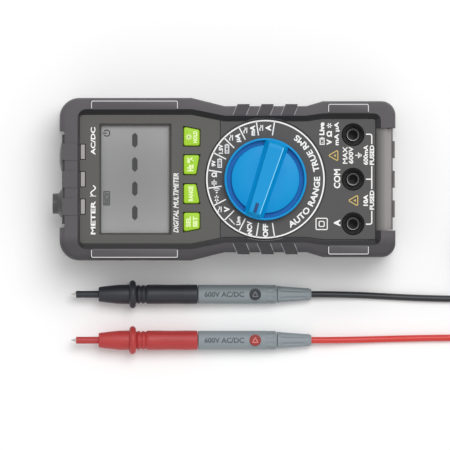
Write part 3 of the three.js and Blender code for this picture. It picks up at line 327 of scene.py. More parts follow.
def end_shade_and_light(paint, colour):
    """Painted shade under the jack panel's edge, painted light growing towards the case's end, darker again
    on its ribs.
    """
    reach = paint.axis("X") * (1 / MM)
    # painted shade under the jack panel's edge
    base = paint.mixed(reach > PANEL_END, colour, srgb(52, 50, 50))
    # painted light growing towards the end, but not on the ribs
    lit_share = ((reach - PAINTED_LIGHT_FROM) * 0.2).clamped() * (1 - (reach > RIBS_FROM) * 0.75)
    return paint.mixed(lit_share, base, settings().colours.case_end_lit)


def metal(name, colour, roughness):
    """Plated or turned metal, with faint lathe marks and dull patches."""
    paint = Paint(name)
    fine = paint.noise(0.08 * MM, 2)
    slow = paint.noise(2.5 * MM, 3)
    return paint.finish(
        Base_Color=paint.shaded(colour, 1 + (slow - 0.5) * 0.25),
        Metallic=1.0,
        Roughness=roughness + (slow - 0.5) * 0.2,
        Normal=paint.bump(fine, 0.003 * MM),
    )


def ink(name, colour, roughness=0.55):
    """Screen-printed ink, a little uneven; the same finish also carries painted highlights and painted
    shade.
    """
    paint = Paint(name)
    fine = paint.noise(0.12 * MM, 2)
    return paint.finish(
        Base_Color=paint.shaded(colour, 1 + (fine - 0.5) * 0.1),
        Roughness=roughness,
        Normal=paint.bump(fine, 0.004 * MM),
    )


def clear(name, alpha, tint=(0.95, 0.97, 0.97), roughness=0.06):
    """Thin clear plastic."""
    paint = Paint(name)
    slow = paint.noise(6 * MM, 2)
    shine = roughness + (slow - 0.5) * 0.04
    return paint.finish(Base_Color=tint, Roughness=shine, Alpha=alpha, IOR=1.49)


def display_glass(name, colour):
    """The grey face of a liquid crystal display, with painted light making it lighter towards its corners.
    """
    paint = Paint(name)
    low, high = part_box("lcd_glass")
    middle, half = (low + high) / 2, (high - low) / 2
    along = (paint.axis("X") - middle.x) * (1 / half.x)
    across = (paint.axis("Y") - middle.y) * (1 / half.y)
    slow = paint.noise(9 * MM, 2)
    # painted light: lighter towards the corners
    shade = 0.9 + across * across * 0.42 + along * along * 0.2 + (slow - 0.5) * 0.04
    return paint.finish(Base_Color=paint.shaded(colour, shade), Roughness=0.45)


def knob_plastic(name, colour, groove):
    """Blue plastic, with painted shade making it darker in the groove under the rim."""
    paint = Paint(name)
    low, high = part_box("selector_knob")
    across = [paint.axis("X") - (low.x + high.x) / 2, paint.axis("Y") - (low.y + high.y) / 2]
    squared = across[0] * across[0] + across[1] * across[1]
    disc_top = high.z - RIDGE_HEIGHT * MM
    # painted shade in the groove under the rim
    inside = (squared > (MOAT[0] * MM) ** 2) * ((MOAT[1] * MM) ** 2 - squared > 0)
    groove_shade = inside * ((disc_top - 0.05 * MM) - paint.axis("Z") > 0)
    fine = paint.noise(0.2 * MM, 3)
    slow = paint.noise(12 * MM, 2)
    shade = 1 + (slow - 0.5) * 0.08 + (fine - 0.5) * 0.05
    coloured = paint.mixed(groove_shade, paint.shaded(colour, shade), paint.shaded(groove, shade))
    return paint.finish(
        Base_Color=coloured,
        Roughness=0.42 + (slow - 0.5) * 0.1,
        Normal=paint.bump(fine, 0.008 * MM),
        IOR=1.3,
    )


def cord_jacket(name, colour):
    """A soft cord's jacket: smooth, with a faint twist of the strands showing through."""
    paint = Paint(name)
    slow = paint.noise(14 * MM, 3)
    fine = paint.noise(0.5 * MM, 3)
    return paint.finish(
        Base_Color=paint.shaded(colour, 1 + (slow - 0.5) * 0.12 + (fine - 0.5) * 0.06),
        Roughness=0.4 + (slow - 0.5) * 0.12,
        Normal=paint.bump(fine, 0.01 * MM),
        Coat_Weight=0.1,
    )


def circuit_board(name):
    """Green solder mask with copper tracks under it."""
    paint = Paint(name)
    tracks = paint.node(
        "ShaderNodeTexBrick",
        {"offset": 0.35, "squash": 1.6},
        {
            "Vector": paint.place,
            "Color1": rgba(srgb(16, 84, 52)),
            "Color2": rgba(srgb(24, 104, 62)),
            "Mortar": rgba(srgb(62, 140, 74)),
            "Scale": 260.0,
            "Mortar Size": 0.03,
        },
    )
    return paint.finish(Base_Color=tracks.outputs["Color"], Roughness=0.35, Coat_Weight=0.2)


def cell_wrapper(name):
    """A battery's printed sleeve: a dark band and a bright one."""
    paint = Paint(name)
    low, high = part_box("battery_1")
    share = (paint.axis("Y") - low.y) * (1 / (high.y - low.y))
    return paint.finish(
        Base_Color=paint.mixed(share > 0.3, srgb(190, 120, 40), srgb(34, 34, 36)),
        Roughness=0.3 + paint.noise(3 * MM) * 0.1,
        Metallic=0.3,
    )


MATERIALS = {}


def material(name):
    """One of the object's materials, made when it is first asked for."""
    colours, leads = settings().colours, settings().lead_colours
    makers = {
        "holster": lambda: moulded(name, colours.holster, 0.62, 0.34 * MM, 0.03, 0.07, tint=rim_shade_and_highlight),
        "land": lambda: moulded(name, srgb(76, 73, 77), 0.42, cloud=0.04),
        # painted highlight on the lands' edges
        "land_edge": lambda: ink(name, srgb(214, 212, 215), 0.35),
        "case": lambda: moulded(name, colours.case, 0.4, depth=0.01, coat=0.1, tint=end_shade_and_light),
        "fittings": lambda: moulded(name, colours.fittings, 0.45, depth=0.01),
        "bezel": lambda: moulded(name, colours.bezel, 0.5, depth=0.014),
        "jack_panel": lambda: moulded(name, colours.jacks, 0.5, depth=0.014),
        "print": lambda: ink(name, colours.print),
        "amber": lambda: ink(name, colours.amber, 0.45),
        "knob": lambda: knob_plastic(name, colours.knob, colours.moat_shade),
        # painted shade of the pointer's recessed slot
        "pointer": lambda: moulded(name, srgb(0, 62, 118), 0.6),
        "key": lambda: moulded(name, colours.key, 0.45, depth=0.008, cloud=0.06),
        "key_print": lambda: ink(name, colours.key_print),
        "lcd": lambda: display_glass(name, colours.lcd),
        "segment": lambda: ink(name, colours.segment, 0.5),
        "segment_shade": lambda: ink(name, srgb(122, 123, 124), 0.5),
        "window": lambda: clear(name, 0.05, tint=(0.26, 0.27, 0.27)),
        "lens": lambda: clear(name, 0.45, roughness=0.1),
        "signal": lambda: moulded(name, colours.signal, 0.4, cloud=0.08),
        "jack": lambda: moulded(name, srgb(19, 18, 18), 0.34, depth=0.006),
        "socket": lambda: metal(name, srgb(128, 126, 124), 0.35),
        "nickel": lambda: metal(name, srgb(214, 214, 212), 0.2),
        "brass": lambda: metal(name, srgb(222, 186, 116), 0.25),
        "steel": lambda: metal(name, srgb(176, 177, 180), 0.35),
        "rubber": lambda: moulded(name, srgb(46, 46, 48), 0.7, 0.4 * MM, 0.02),
        "board": lambda: circuit_board(name),
        "cell": lambda: cell_wrapper(name),
        "ceramic": lambda: moulded(name, srgb(226, 222, 210), 0.35),
        "black": lambda: moulded(name, leads.black, 0.5, 0.2 * MM, 0.014, 0.06),
        "red": lambda: moulded(name, leads.red, 0.5, 0.2 * MM, 0.014, 0.06),
        "black_cord": lambda: cord_jacket(name, leads.black_cord),
        "red_cord": lambda: cord_jacket(name, leads.red_cord),
        "black_badge": lambda: moulded(name, srgb(42, 46, 52), 0.5),
        "red_badge": lambda: moulded(name, srgb(148, 50, 48), 0.5),
        "grip": lambda: moulded(name, leads.grip, 0.55, 0.2 * MM, 0.014, 0.05),
        # painted shade of engraved lettering
        "grip_print": lambda: ink(name, srgb(84, 92, 98)),
        # lighter triangles: painted highlight on their raised lines
        "black_sign": lambda: moulded(name, srgb(112, 116, 122), 0.5),
        "red_sign": lambda: moulded(name, srgb(232, 128, 122), 0.5),
        # painted highlight along the ridge's edge
        "knob_edge": lambda: moulded(name, srgb(126, 214, 250), 0.3, coat=0.3),
    }
    if name not in MATERIALS:
        MATERIALS[name] = makers[name]()
    return MATERIALS[name]


# ------------------------------------------------------------------ surfaces


def linked(name, data):
    """A new object with that data, in the scene."""
    made = bpy.data.objects.new(name, data)
    bpy.context.scene.collection.objects.link(made)
    return made


def piece(name, corners, faces, coat, body, slot, node=None, smooth=40):
    """A new piece from its corners, in millimetres, and its faces, with its doubles merged.

    It rides the body, and it stands for the CAD node if one is given.
    """
    mesh = bpy.data.meshes.new(name)
    mesh.from_pydata((np.asarray(corners, float) * MM).tolist(), [], [list(f) for f in faces])
    tidy = bmesh.new()
    tidy.from_mesh(mesh)
    bmesh.ops.remove_doubles(tidy, verts=tidy.verts, dist=0.0004 * MM)
    bmesh.ops.dissolve_degenerate(tidy, edges=tidy.edges, dist=0.0004 * MM)
    bmesh.ops.recalc_face_normals(tidy, faces=tidy.faces)
    tidy.to_mesh(mesh)
    tidy.free()
    mesh.shade_smooth()
    mesh.set_sharp_from_angle(angle=math.radians(smooth))
    mesh.materials.append(material(coat))
    made = linked(name, mesh)
    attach(made, body)
    if node:
        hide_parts(node)
    return made


def grid_faces(rows, columns, closed_rows=False, closed_columns=True):
    """Quads between the points of a grid, numbered row by row."""
    r = np.arange(rows if closed_rows else rows - 1)
    c = np.arange(columns if closed_columns else columns - 1)
    r, c = (x.ravel() for x in np.meshgrid(r, c, indexing="ij"))
    r2, c2 = (r + 1) % rows, (c + 1) % columns
    return np.stack([r * columns + c, r * columns + c2, r2 * columns + c2, r2 * columns + c], 1)


def skin(rings):
    """Corners and faces of the skin over a stack of closed rings, with both ends capped."""
    rings = np.asarray(rings, float)
    count, size = rings.shape[:2]
    faces = grid_faces(count, size).tolist()
    faces.append(list(range(size))[::-1])
    faces.append(list(range((count - 1) * size, count * size)))
    return rings.reshape(-1, 3), faces


def joined(*parts):
    """Several (corners, faces) as one."""
    corners, faces, start = [], [], 0
    for some, theirs in parts:
        corners.append(np.asarray(some, float).reshape(-1, 3))
        faces += [[start + i for i in face] for face in theirs]
        start += len(corners[-1])
    return np.concatenate(corners), faces


def rounded(points, radius, steps, closed=True):
    """A polyline whose corners are arcs: each tangent to both sides, of the radius given or less."""
    points = np.asarray(points, float)
    before, after = np.roll(points, 1, 0), np.roll(points, -1, 0)
    out = []
    for a, b, c in zip(before, points, after):
        first, second = a - b, c - b
        reach = min(np.linalg.norm(first), np.linalg.norm(second)) * 0.49
        first, second = first / np.linalg.norm(first), second / np.linalg.norm(second)
        turn = math.pi - math.acos(float(np.clip(first @ second, -1, 1)))
        back = min(radius * math.tan(turn / 2), reach)
        if back < 1e-6 or turn < 1e-3:
            out.append(b[None])
            continue
        true = back / math.tan(turn / 2)
        centre = b + (first + second) / np.linalg.norm(first + second) * math.hypot(back, true)
        start, end = b + first * back - centre, b + second * back - centre
        share = np.linspace(0, 1, steps + 1)[:, None]
        arc = (np.sin((1 - share) * turn) * start + np.sin(share * turn) * end) / math.sin(turn)
        out.append(centre + arc)
    if not closed:
        out[0], out[-1] = points[:1], points[-1:]
    return np.concatenate(out)


def inset(outline, by):
    """A closed outline, going round anticlockwise, moved inward along its own normals."""
    along = np.roll(outline, -1, 0) - outline
    along = along / np.linalg.norm(along, axis=1)[:, None]
    normal = np.stack([along[:, 1], -along[:, 0]], 1)
    both = normal + np.roll(normal, 1, 0)
    scale = 2 / np.maximum((both**2).sum(1), 0.8)
    return outline - both * scale[:, None] * by


def stacked(outline, steps):
    """Corners and faces of a capped solid: the outline inset by each step and set at its height."""
    rings = [np.column_stack([inset(outline, by), np.full(len(outline), z)]) for by, z in steps]
    return skin(rings)


def turned(profile, place, segments, flutes=None):
    """Corners and faces of a turned surface.

    A profile of (along, radius) pairs goes round an axis: place + along * d + radius *
    (cos t * u + sin t * v), where d, u and v are the place's three directions.
    """
    origin, d, u, v = place
    profile = np.asarray(profile, float)
    turn = np.arange(segments) * 2 * math.pi / segments
    radius = np.repeat(profile[:, 1:2], segments, 1)
    if flutes is not None:
        radius = flutes(profile[:, :1], turn[None], radius)
    round_it = np.cos(turn)[:, None] * u + np.sin(turn)[:, None] * v
    rings = origin + profile[:, :1, None] * d + radius[:, :, None] * round_it[None]
    return rings.reshape(-1, 3), grid_faces(len(profile), segments).tolist()


def upright(x, y):
    """A turned piece's place on an upright axis, its distances along it being heights."""
    return np.array([x, y, 0.0]), np.array([0, 0, 1.0]), np.array([1.0, 0, 0]), np.array([0, 1.0, 0])


def smooth_line(points, per):
    """Points along a centripetal Catmull-Rom curve through the points given."""
    points = np.asarray(points, float)
    ends = [2 * points[0] - points[1], 2 * points[-1] - points[-2]]
    padded = np.concatenate([ends[:1], points, ends[1:]])
    out = []
    for a, b, c, d in zip(padded, padded[1:], padded[2:], padded[3:]):
        knots = np.cumsum([0, *(np.sqrt(np.linalg.norm(q - p)) for p, q in ((a, b), (b, c), (c, d)))])
        t = np.linspace(knots[1], knots[2], per, endpoint=False)[:, None]

        def blend(p, q, low, high):
            return ((knots[high] - t) * p + (t - knots[low]) * q) / (knots[high] - knots[low])

        near, middle, far = blend(a, b, 0, 1), blend(b, c, 1, 2), blend(c, d, 2, 3)
        out.append(blend(blend(near, middle, 0, 2), blend(middle, far, 1, 3), 1, 2))
    return np.concatenate([*out, points[-1:]])


def middle(node):
    """The middle of a CAD node's box, in millimetres."""
    low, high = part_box(node)
    return (np.array(low) + np.array(high)) / 2 / MM


def corners_of(node):
    """A CAD node's corners, in millimetres."""
    return np.array([v.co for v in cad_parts[node].data.vertices]) / MM


def span(node, axis):
    """A CAD node's lowest and highest place along an axis, in millimetres."""
    low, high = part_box(node)
    return low[axis] / MM, high[axis] / MM


def repaint(coat, *nodes):
    """Gives CAD nodes that already have their true shape their finish."""
    for name in nodes:
        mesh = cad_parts[name].data
        mesh.materials.clear()
        mesh.materials.append(material(coat))


def softened(node, coat, name=None, edge=None, body="housing"):
    """A CAD node's shape with its faces merged, its edges rounded and its shading smooth."""
    edge = edge or settings().finish.edge
    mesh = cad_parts[node].data.copy()
    merged = bmesh.new()
    merged.from_mesh(mesh)
    bmesh.ops.remove_doubles(merged, verts=merged.verts, dist=0.002 * MM)
    flat = math.radians(0.6)
    bmesh.ops.dissolve_limit(merged, angle_limit=flat, verts=merged.verts, edges=merged.edges)
    merged.to_mesh(mesh)
    merged.free()
    for layer in list(mesh.attributes):
        if layer.name.startswith("custom_normal"):
            mesh.attributes.remove(layer)
    mesh.materials.clear()
    mesh.materials.append(material(coat))
    mesh.shade_smooth()
    made = linked(name or f"{node}_moulded", mesh)
    bevel = made.modifiers.new("edge", "BEVEL")
    bevel.width = edge
    bevel.segments = 2
    bevel.limit_method = "ANGLE"
    bevel.angle_limit = math.radians(28)
    bevel.use_clamp_overlap = True
    bevel.harden_normals = False
    shade = made.modifiers.new("shade", "WEIGHTED_NORMAL")
    shade.keep_sharp = False
    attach(made, body)
    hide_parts(node)
    return made


# ------------------------------------------------------------------ lettering and marks

SIGN_WIDTH = 0.38  # the line width of the small printed signs
FINE_WIDTH = 0.34  # the line width of the finest of them
PRINT_LIFT = 0.015  # how far the middle of the print's thickness lies above its surface


def letters(words, italic, weight, slices=0):
    """Corners and faces of words, one unit high, as thin closed plates about height 0.

    Level cuts slice the faces, so that the words can be bent over a round surface.
    """
    curve = bpy.data.curves.new("words", "FONT")
    curve.body = words
    curve.size = 1
    curve.shear = italic
    curve.offset = weight
    curve.extrude = 0.5
    curve.resolution_u = 3
    holder = linked("words", curve)
    solid = holder.evaluated_get(bpy.context.evaluated_depsgraph_get())
    mesh = bpy.data.meshes.new_from_object(solid)
    cut = bmesh.new()
    cut.from_mesh(mesh)
    if slices:
        bmesh.ops.triangulate(cut, faces=cut.faces)
    for level in np.linspace(-0.25, 0.8, slices):
        whole = [*cut.verts, *cut.edges, *cut.faces]
        bmesh.ops.bisect_plane(cut, geom=whole, plane_co=(0, level, 0), plane_no=(0, 1, 0))
    cut.verts.ensure_lookup_table()
    corners = np.array([v.co for v in cut.verts])
    faces = [[v.index for v in face.verts] for face in cut.faces]
    cut.free()
    bpy.data.objects.remove(holder)
    bpy.data.meshes.remove(mesh)
    bpy.data.curves.remove(curve)
    return corners, faces


def shares(words, italic, weight, slices=0):
    """The letters' corners as shares of their own box, and their faces."""
    corners, faces = letters(words, italic, weight, slices)
    low, high = corners.min(0), corners.max(0)
    return (corners - low) / (high - low), faces


def fitted(words, x, y, z, weight, italic=0.0):
    """Words that read along +Y, filling the box from x[0], where their tops are, to x[1]."""
    share, faces = shares(words, italic, weight)
    across = x[1] + (x[0] - x[1]) * share[:, 1]
    along = y[0] + (y[1] - y[0]) * share[:, 0]
    height = z + (share[:, 2] - 0.5) * settings().finish.ink / MM
    return np.column_stack([across, along, height]), faces


def centred(words, x, y, z, tall, weight, squeeze=1.0):
    """Words that read along +Y, centred on x and y, with their own proportions times a squeeze."""
    corners, _ = letters(words, 0, weight)
    size = corners.max(0) - corners.min(0)
    half = tall / size[1] * size[0] * squeeze / 2
    return fitted(words, (x - tall / 2, x + tall / 2), (y - half, y + half), z, weight)


def bent(words, centre, radius, tall, angles, z, weight):
    """Words bent round a centre, their tops towards it: x goes to the angle and y to the radius."""
    share, faces = shares(words, 0, weight)
    angle = np.radians(angles[0] + (angles[1] - angles[0]) * share[:, 0])
    reach = radius - tall * share[:, 1]
    height = z + (share[:, 2] - 0.5) * settings().finish.ink / MM
    x, y = centre[0] + reach * np.cos(angle), centre[1] + reach * np.sin(angle)
    return np.column_stack([x, y, height]), faces


def stroke(points, width, z, closed=False):
    """A line of even width and ink thickness along points: each corner is mitred."""
    points = np.asarray(points, float)
    if closed:
        ahead = np.roll(points, -1, 0) - points
        behind = np.roll(ahead, 1, 0)
    else:
        steps = np.diff(points, axis=0)
        ahead = np.concatenate([steps, steps[-1:]])
        behind = np.concatenate([steps[:1], steps])
    ahead, behind = (v / np.linalg.norm(v, axis=1)[:, None] for v in (ahead, behind))
    both = ahead + behind
    both = both / np.linalg.norm(both, axis=1)[:, None]
    normal = np.column_stack([-both[:, 1], both[:, 0]])
    side = normal * (width / 2 / np.maximum((both * ahead).sum(1), 0.3))[:, None]
    thick = settings().finish.ink / MM / 2
    corners = [
        np.column_stack([points + side * s, np.full(len(points), z + thick * t)])
        for s, t in ((1, -1), (1, 1), (-1, 1), (-1, -1))
    ]
    rings = np.stack(corners, 1)
    if closed:
        return rings.reshape(-1, 3), grid_faces(len(points), 4, closed_rows=True).tolist()
    return skin(rings)


def plate(outline, z):
    """A flat filled mark with the ink's thickness."""
    thick = settings().finish.ink / MM
    outline = np.asarray(outline, float)
    rings = [np.column_stack([outline, np.full(len(outline), z + t)]) for t in (-thick / 2, thick / 2)]
    return skin(rings)


def arc(centre, radius, start, end, steps):
    """Points on a circle between two angles, in degrees."""
    angle = np.radians(np.linspace(start, end, steps))
    return np.column_stack([centre[0] + radius * np.cos(angle), centre[1] + radius * np.sin(angle)])


def lines(z, *paths, width=SIGN_WIDTH):
    """The open lines of a small sign."""
    return [stroke(path, width, z) for path in paths]


def marks(name, parts, coat, slot, body="housing"):
    """One piece from flat marks, given in millimetres."""
    piece(name, *joined(*parts), coat, body, slot, smooth=30)


# ------------------------------------------------------------------ stage, light and camera

SQUARE = ((-1, -1), (1, -1), (1, 1), (-1, 1))  # its corners, going round anticlockwise
VIEW_MIDDLE = (-1.07, -19.56)  # where the camera looks, in millimetres
KEY_LIGHT = (0.7, 1.25, 3.1)  # where the large light hangs, in metres
KEY_SIZE = 2.0  # its side, in metres
KEY_POWER = 62  # its power, in watts
WORLD_STRENGTH = 0.66
FLOOR_REACH = 6.0  # how far the floor goes each way, in metres
PANEL_TOP = span("display_bezel", 2)[1]


class METER_OT_stage(bpy.types.Operator):
    """Make the floor, the lights and the camera"""

    bl_idname = "meter.stage"
    bl_label = "Stage"

    def execute(self, context):
        stage = settings().stage
        mesh = bpy.data.meshes.new("floor")
        corners = [(a * FLOOR_REACH, b * FLOOR_REACH, 0) for a, b in SQUARE]
        mesh.from_pydata(corners, [], [(0, 1, 2, 3)])
        paint = Paint("studio_floor")
        cloudy = paint.noise(0.4, 2)
        colour = paint.shaded(stage.floor, 1 + (cloudy - 0.5) * 0.01)
        mesh.materials.append(paint.finish(Base_Color=colour, Roughness=0.9))
        floor = linked("floor", mesh)
        self.lights(context, stage)
        self.camera(context, stage)
        return {"FINISHED"}

    def lights(self, context, stage):
        world = bpy.data.worlds.new("studio")
        context.scene.world = world
        world.use_nodes = True
        background = world.node_tree.nodes["Background"].inputs
        background["Color"].default_value = (1, 1, 1, 1)
        background["Strength"].default_value = WORLD_STRENGTH * stage.light
        context.scene.view_settings.view_transform = "Standard"
        lamp = bpy.data.lights.new("key", "AREA")
        lamp.energy = KEY_POWER * stage.light
        lamp.size = KEY_SIZE
        holder = linked("key", lamp)
        x, y, z = KEY_LIGHT
        holder.location = KEY_LIGHT
        holder.rotation_euler = (math.atan2(math.hypot(x, y), z), 0, math.atan2(y, x) + math.pi / 2)

    def camera(self, context, stage):
        lens = bpy.data.cameras.new("camera")
        lens.sensor_width = 36
        lens.lens = lens.sensor_width * (stage.height - PANEL_TOP * MM) / stage.width
        lens.clip_start = 0.01
        holder = linked("camera", lens)
        holder.location = (VIEW_MIDDLE[0] * MM, VIEW_MIDDLE[1] * MM, stage.height)
        context.scene.camera = holder


# ------------------------------------------------------------------ leads

CORD_RADIUS = 1.4  # in millimetres
# how far along from the strain relief, share of the drop still to go, share of the drift made
CORD_ROUTE = ((6, 0.9, 0), (14, 0.55, 0.08), (22, 0.2, 0.22), (30, 0, 0.42), (42, 0, 0.72))
CORD_ROUTE += ((54, 0, 0.92), (64, 0, 1))
# the cells of the bundle in the order that the turns fill them: row from outside, layer from below
COIL_CELLS = ((0, 0), (1, 0), (2, 0), (2, 1), (2, 2), (1, 2), (1, 1), (0, 1), (0, 2))
CELL_CHANGE = 0.1  # the share of a turn in which the cord moves from one cell to the next


def probe_place(lead):
    """The probe's axis from its point: an origin, its direction, and two directions across it."""
    tip = corners_of(f"{lead}_probe_tip")
    point = tip[np.argmin(tip[:, 0])]
    d = corners_of(f"{lead}_strain_relief").mean(0) - point
    d = d / np.linalg.norm(d)
    side = np.array([0, 1.0, 0])
    return point, d, side, np.cross(d, side)


def along_probe(lead, node):
    """Where a CAD node of the probe starts and ends, measured along the probe from its point."""
    origin, d, _, _ = probe_place(lead)
    reach = (corners_of(f"{lead}_{node}") - origin) @ d
    return float(reach.min()), float(reach.max())


def cord_points(lead):
    """The cord's centreline: down from the strain relief, along the bench and round the coil.

    In the coil the angle grows evenly, and the radius and the height are those of the turn's cell
    in the bundle, eased to the next cell's over a short part of each turn.
    """
    origin, d, _, _ = probe_place(lead)
    exit_point = origin + d * along_probe(lead, "strain_relief")[1]
    coil = middle(f"{lead}_cord_coil")
    low, high = span(f"{lead}_cord_coil", 0)
    outer = (high - low) / 2 - CORD_RADIUS
    end_y = coil[1] - outer
    drift = end_y - exit_point[1]
    route = [exit_point]
    for along, height, aside in CORD_ROUTE:
        z = CORD_RADIUS + height * (exit_point[2] - CORD_RADIUS)
        route.append((exit_point[0] + along, exit_point[1] + aside * drift, z))
    left = coil[0] - route[-1][0]
    route += [(route[-1][0] + left * share, end_y, CORD_RADIUS) for share in (0.34, 0.67)]
    turns = settings().leads.turns
    t = np.linspace(0, turns, int(turns * 40))
    cells = np.array(COIL_CELLS, float)
    starts = (1 - CELL_CHANGE) * np.arange(1, len(cells))
    progress = np.clip((t[:, None] - starts) / CELL_CHANGE, 0, 1)
    eased = (progress**2 * (3 - 2 * progress)).sum(1)
    at = np.arange(len(cells))
    row, layer = (np.interp(eased, at, cells[:, k]) for k in (0, 1))
    radius = outer - row * 2 * CORD_RADIUS
    angle = 2 * math.pi * t - math.pi / 2
    x, y = coil[0] + radius * np.cos(angle), coil[1] + radius * np.sin(angle)
    turned_round = np.column_stack([x, y, CORD_RADIUS + layer * 2 * CORD_RADIUS])
    boot = middle(f"{lead}_plug_boot")
    plug_start = np.array([boot[0], span(f"{lead}_plug_boot", 1)[0] + 1, boot[2]])
    top = turned_round[-1]
    run_out = [top + (plug_start - top) * np.array([1, s, s * s * (3 - 2 * s)]) for s in (0.3, 0.6, 0.85, 1)]
    straight = smooth_line([*route, turned_round[0]], 6)[:-1]
    return exit_point, np.concatenate([straight, turned_round, run_out])


class METER_OT_cords(bpy.types.Operator):
    """Make both leads' cords, wound into a coil, with the strap that holds each coil"""

    bl_idname = "meter.cords"
    bl_label = "Cords"

    def execute(self, context):
        for lead in LEADS:
            exit_point, points = cord_points(lead)
            curve = bpy.data.curves.new(f"{lead}_cord_line", "CURVE")
            curve.dimensions = "3D"
            curve.bevel_depth = CORD_RADIUS * MM
            curve.bevel_resolution = 4
            curve.use_fill_caps = True
            line = curve.splines.new("POLY")
            line.points.add(len(points) - 1)
            flat = np.column_stack([points * MM, np.ones(len(points))]).ravel()
            line.points.foreach_set("co", flat)
            line.use_smooth = True
            curve.materials.append(material(f"{lead}_cord"))
            made = linked(f"{lead}_cord_whole", curve)
            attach(made, f"{lead}_lead")
            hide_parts(f"{lead}_cord", f"{lead}_cord_coil")
            plug = self.plug(lead)
            strap = self.strap(lead)
            exit_point * MM
        return {"FINISHED"}

    def strap(self, lead):
        """A hook-and-loop strap: a rounded rectangle round the bundle, carried along the coil."""
        coil = middle(f"{lead}_cord_coil")
        low, high = span(f"{lead}_cord_coil", 0)
        rows = settings().leads.across * 2 * CORD_RADIUS
        outer = (high - low) / 2
        thick, wide = 0.7, 9.0
        bottom, top = 0.05, span(f"{lead}_cord_coil", 2)[1] + thick
        near, far = outer + thick, outer - rows - thick
        loop = rounded([(near, bottom), (near, top), (far, top), (far, bottom)], 2.2, 6)
        steps = np.array([0, 0.35, 1, wide - 1, wide - 0.35, wide]) / outer
        ease = np.array([0.45, 0.12, 0, 0, 0.12, 0.45])
        mid = np.array([outer - rows / 2, (bottom + top) / 2])
        rings = []
        for step, tuck in zip(steps - steps[-1] / 2 + math.pi * 0.5, ease):
            ring = loop + (mid - loop) * (tuck * thick / np.linalg.norm(loop - mid, axis=1))[:, None]
            x, y = coil[0] + ring[:, 0] * math.cos(step), coil[1] + ring[:, 0] * math.sin(step)
            rings.append(np.column_stack([x, y, ring[:, 1]]))
        name, body = f"{lead}_cord_strap", f"{lead}_lead"
        return piece(name, *skin(rings), "rubber", body, "inner_rubber", smooth=50)

    def plug(self, lead):
        """The shrouded plug: ribbed boot, waisted grip with a flange, open shroud and its pin."""
        x, _, z = middle(f"{lead}_plug_boot")
        start, end = span(f"{lead}_plug_boot", 1)
        across, along, up = np.eye(3)
        place = np.array([x, start, z]), along, across, up
        boot_end = end - start
        body_from, body_to = (v - start for v in span(f"{lead}_plug_body", 1))
        pin_from, pin_to = (v - start for v in span(f"{lead}_plug_pin", 1))
        ribs = [(0, 0), (0, 1.9)]
        for at in np.arange(1.6, boot_end - 2, 1.9):
            share = at / boot_end
            wide = 1.9 + share * 1.4
            ribs += [(at, wide), (at + 0.25, wide + 0.02), (at + 0.45, wide - 0.55)]
            ribs += [(at + 0.95, wide - 0.5), (at + 1.15, wide + 0.1)]
        ribs += [(boot_end - 1, 3.3), (boot_end - 0.2, 3.3), (boot_end, 3.1), (boot_end, 0)]
        flange = body_from + 19
        shroud = flange + 1.8
        rings = [(body_from, 0), (body_from, 3.5), (body_from + 0.6, 4.1), (body_from + 1.6, 4.3)]
        for at in np.arange(body_from + 3.5, flange - 3, 2.2):
            rings += [(at, 4.28), (at + 0.25, 3.9), (at + 1.0, 3.9), (at + 1.25, 4.28)]
        rings += [(flange - 0.5, 4.3), (flange, 4.55), (flange + 0.2, 4.86), (shroud - 0.25, 4.88)]
        rings += [(shroud, 4.6), (shroud, 4.0), (body_to - 0.3, 4.0), (body_to, 3.75)]
        rings += [(body_to, 3.3), (body_to - 0.25, 3.1), (shroud, 3.1), (shroud, 0)]
        pin = [(pin_from, 0), (pin_from, 1.95), (shroud + 3, 1.95), (shroud + 3.3, 1.7)]
        pin += [(shroud + 4, 1.98), (pin_to - 3.5, 1.98), (pin_to - 1.2, 1.7), (pin_to - 0.2, 1.1)]
        pin += [(pin_to, 0.6), (pin_to, 0)]
        parts = (
            ("boot_ribbed", ribs, "grip", "grip_plastic", "boot"),
            ("grip", rings, lead, f"{lead}_plastic", "body"),
            ("contact", pin, "brass", "brass", "pin"),
        )
        made = []
        for name, profile, coat, slot, node in parts:
            name, node = f"{lead}_plug_{name}", f"{lead}_plug_{node}"
            surface = turned(profile, place, 64)
            made.append(piece(name, *surface, coat, f"{lead}_lead", slot, node, 35))
        return made


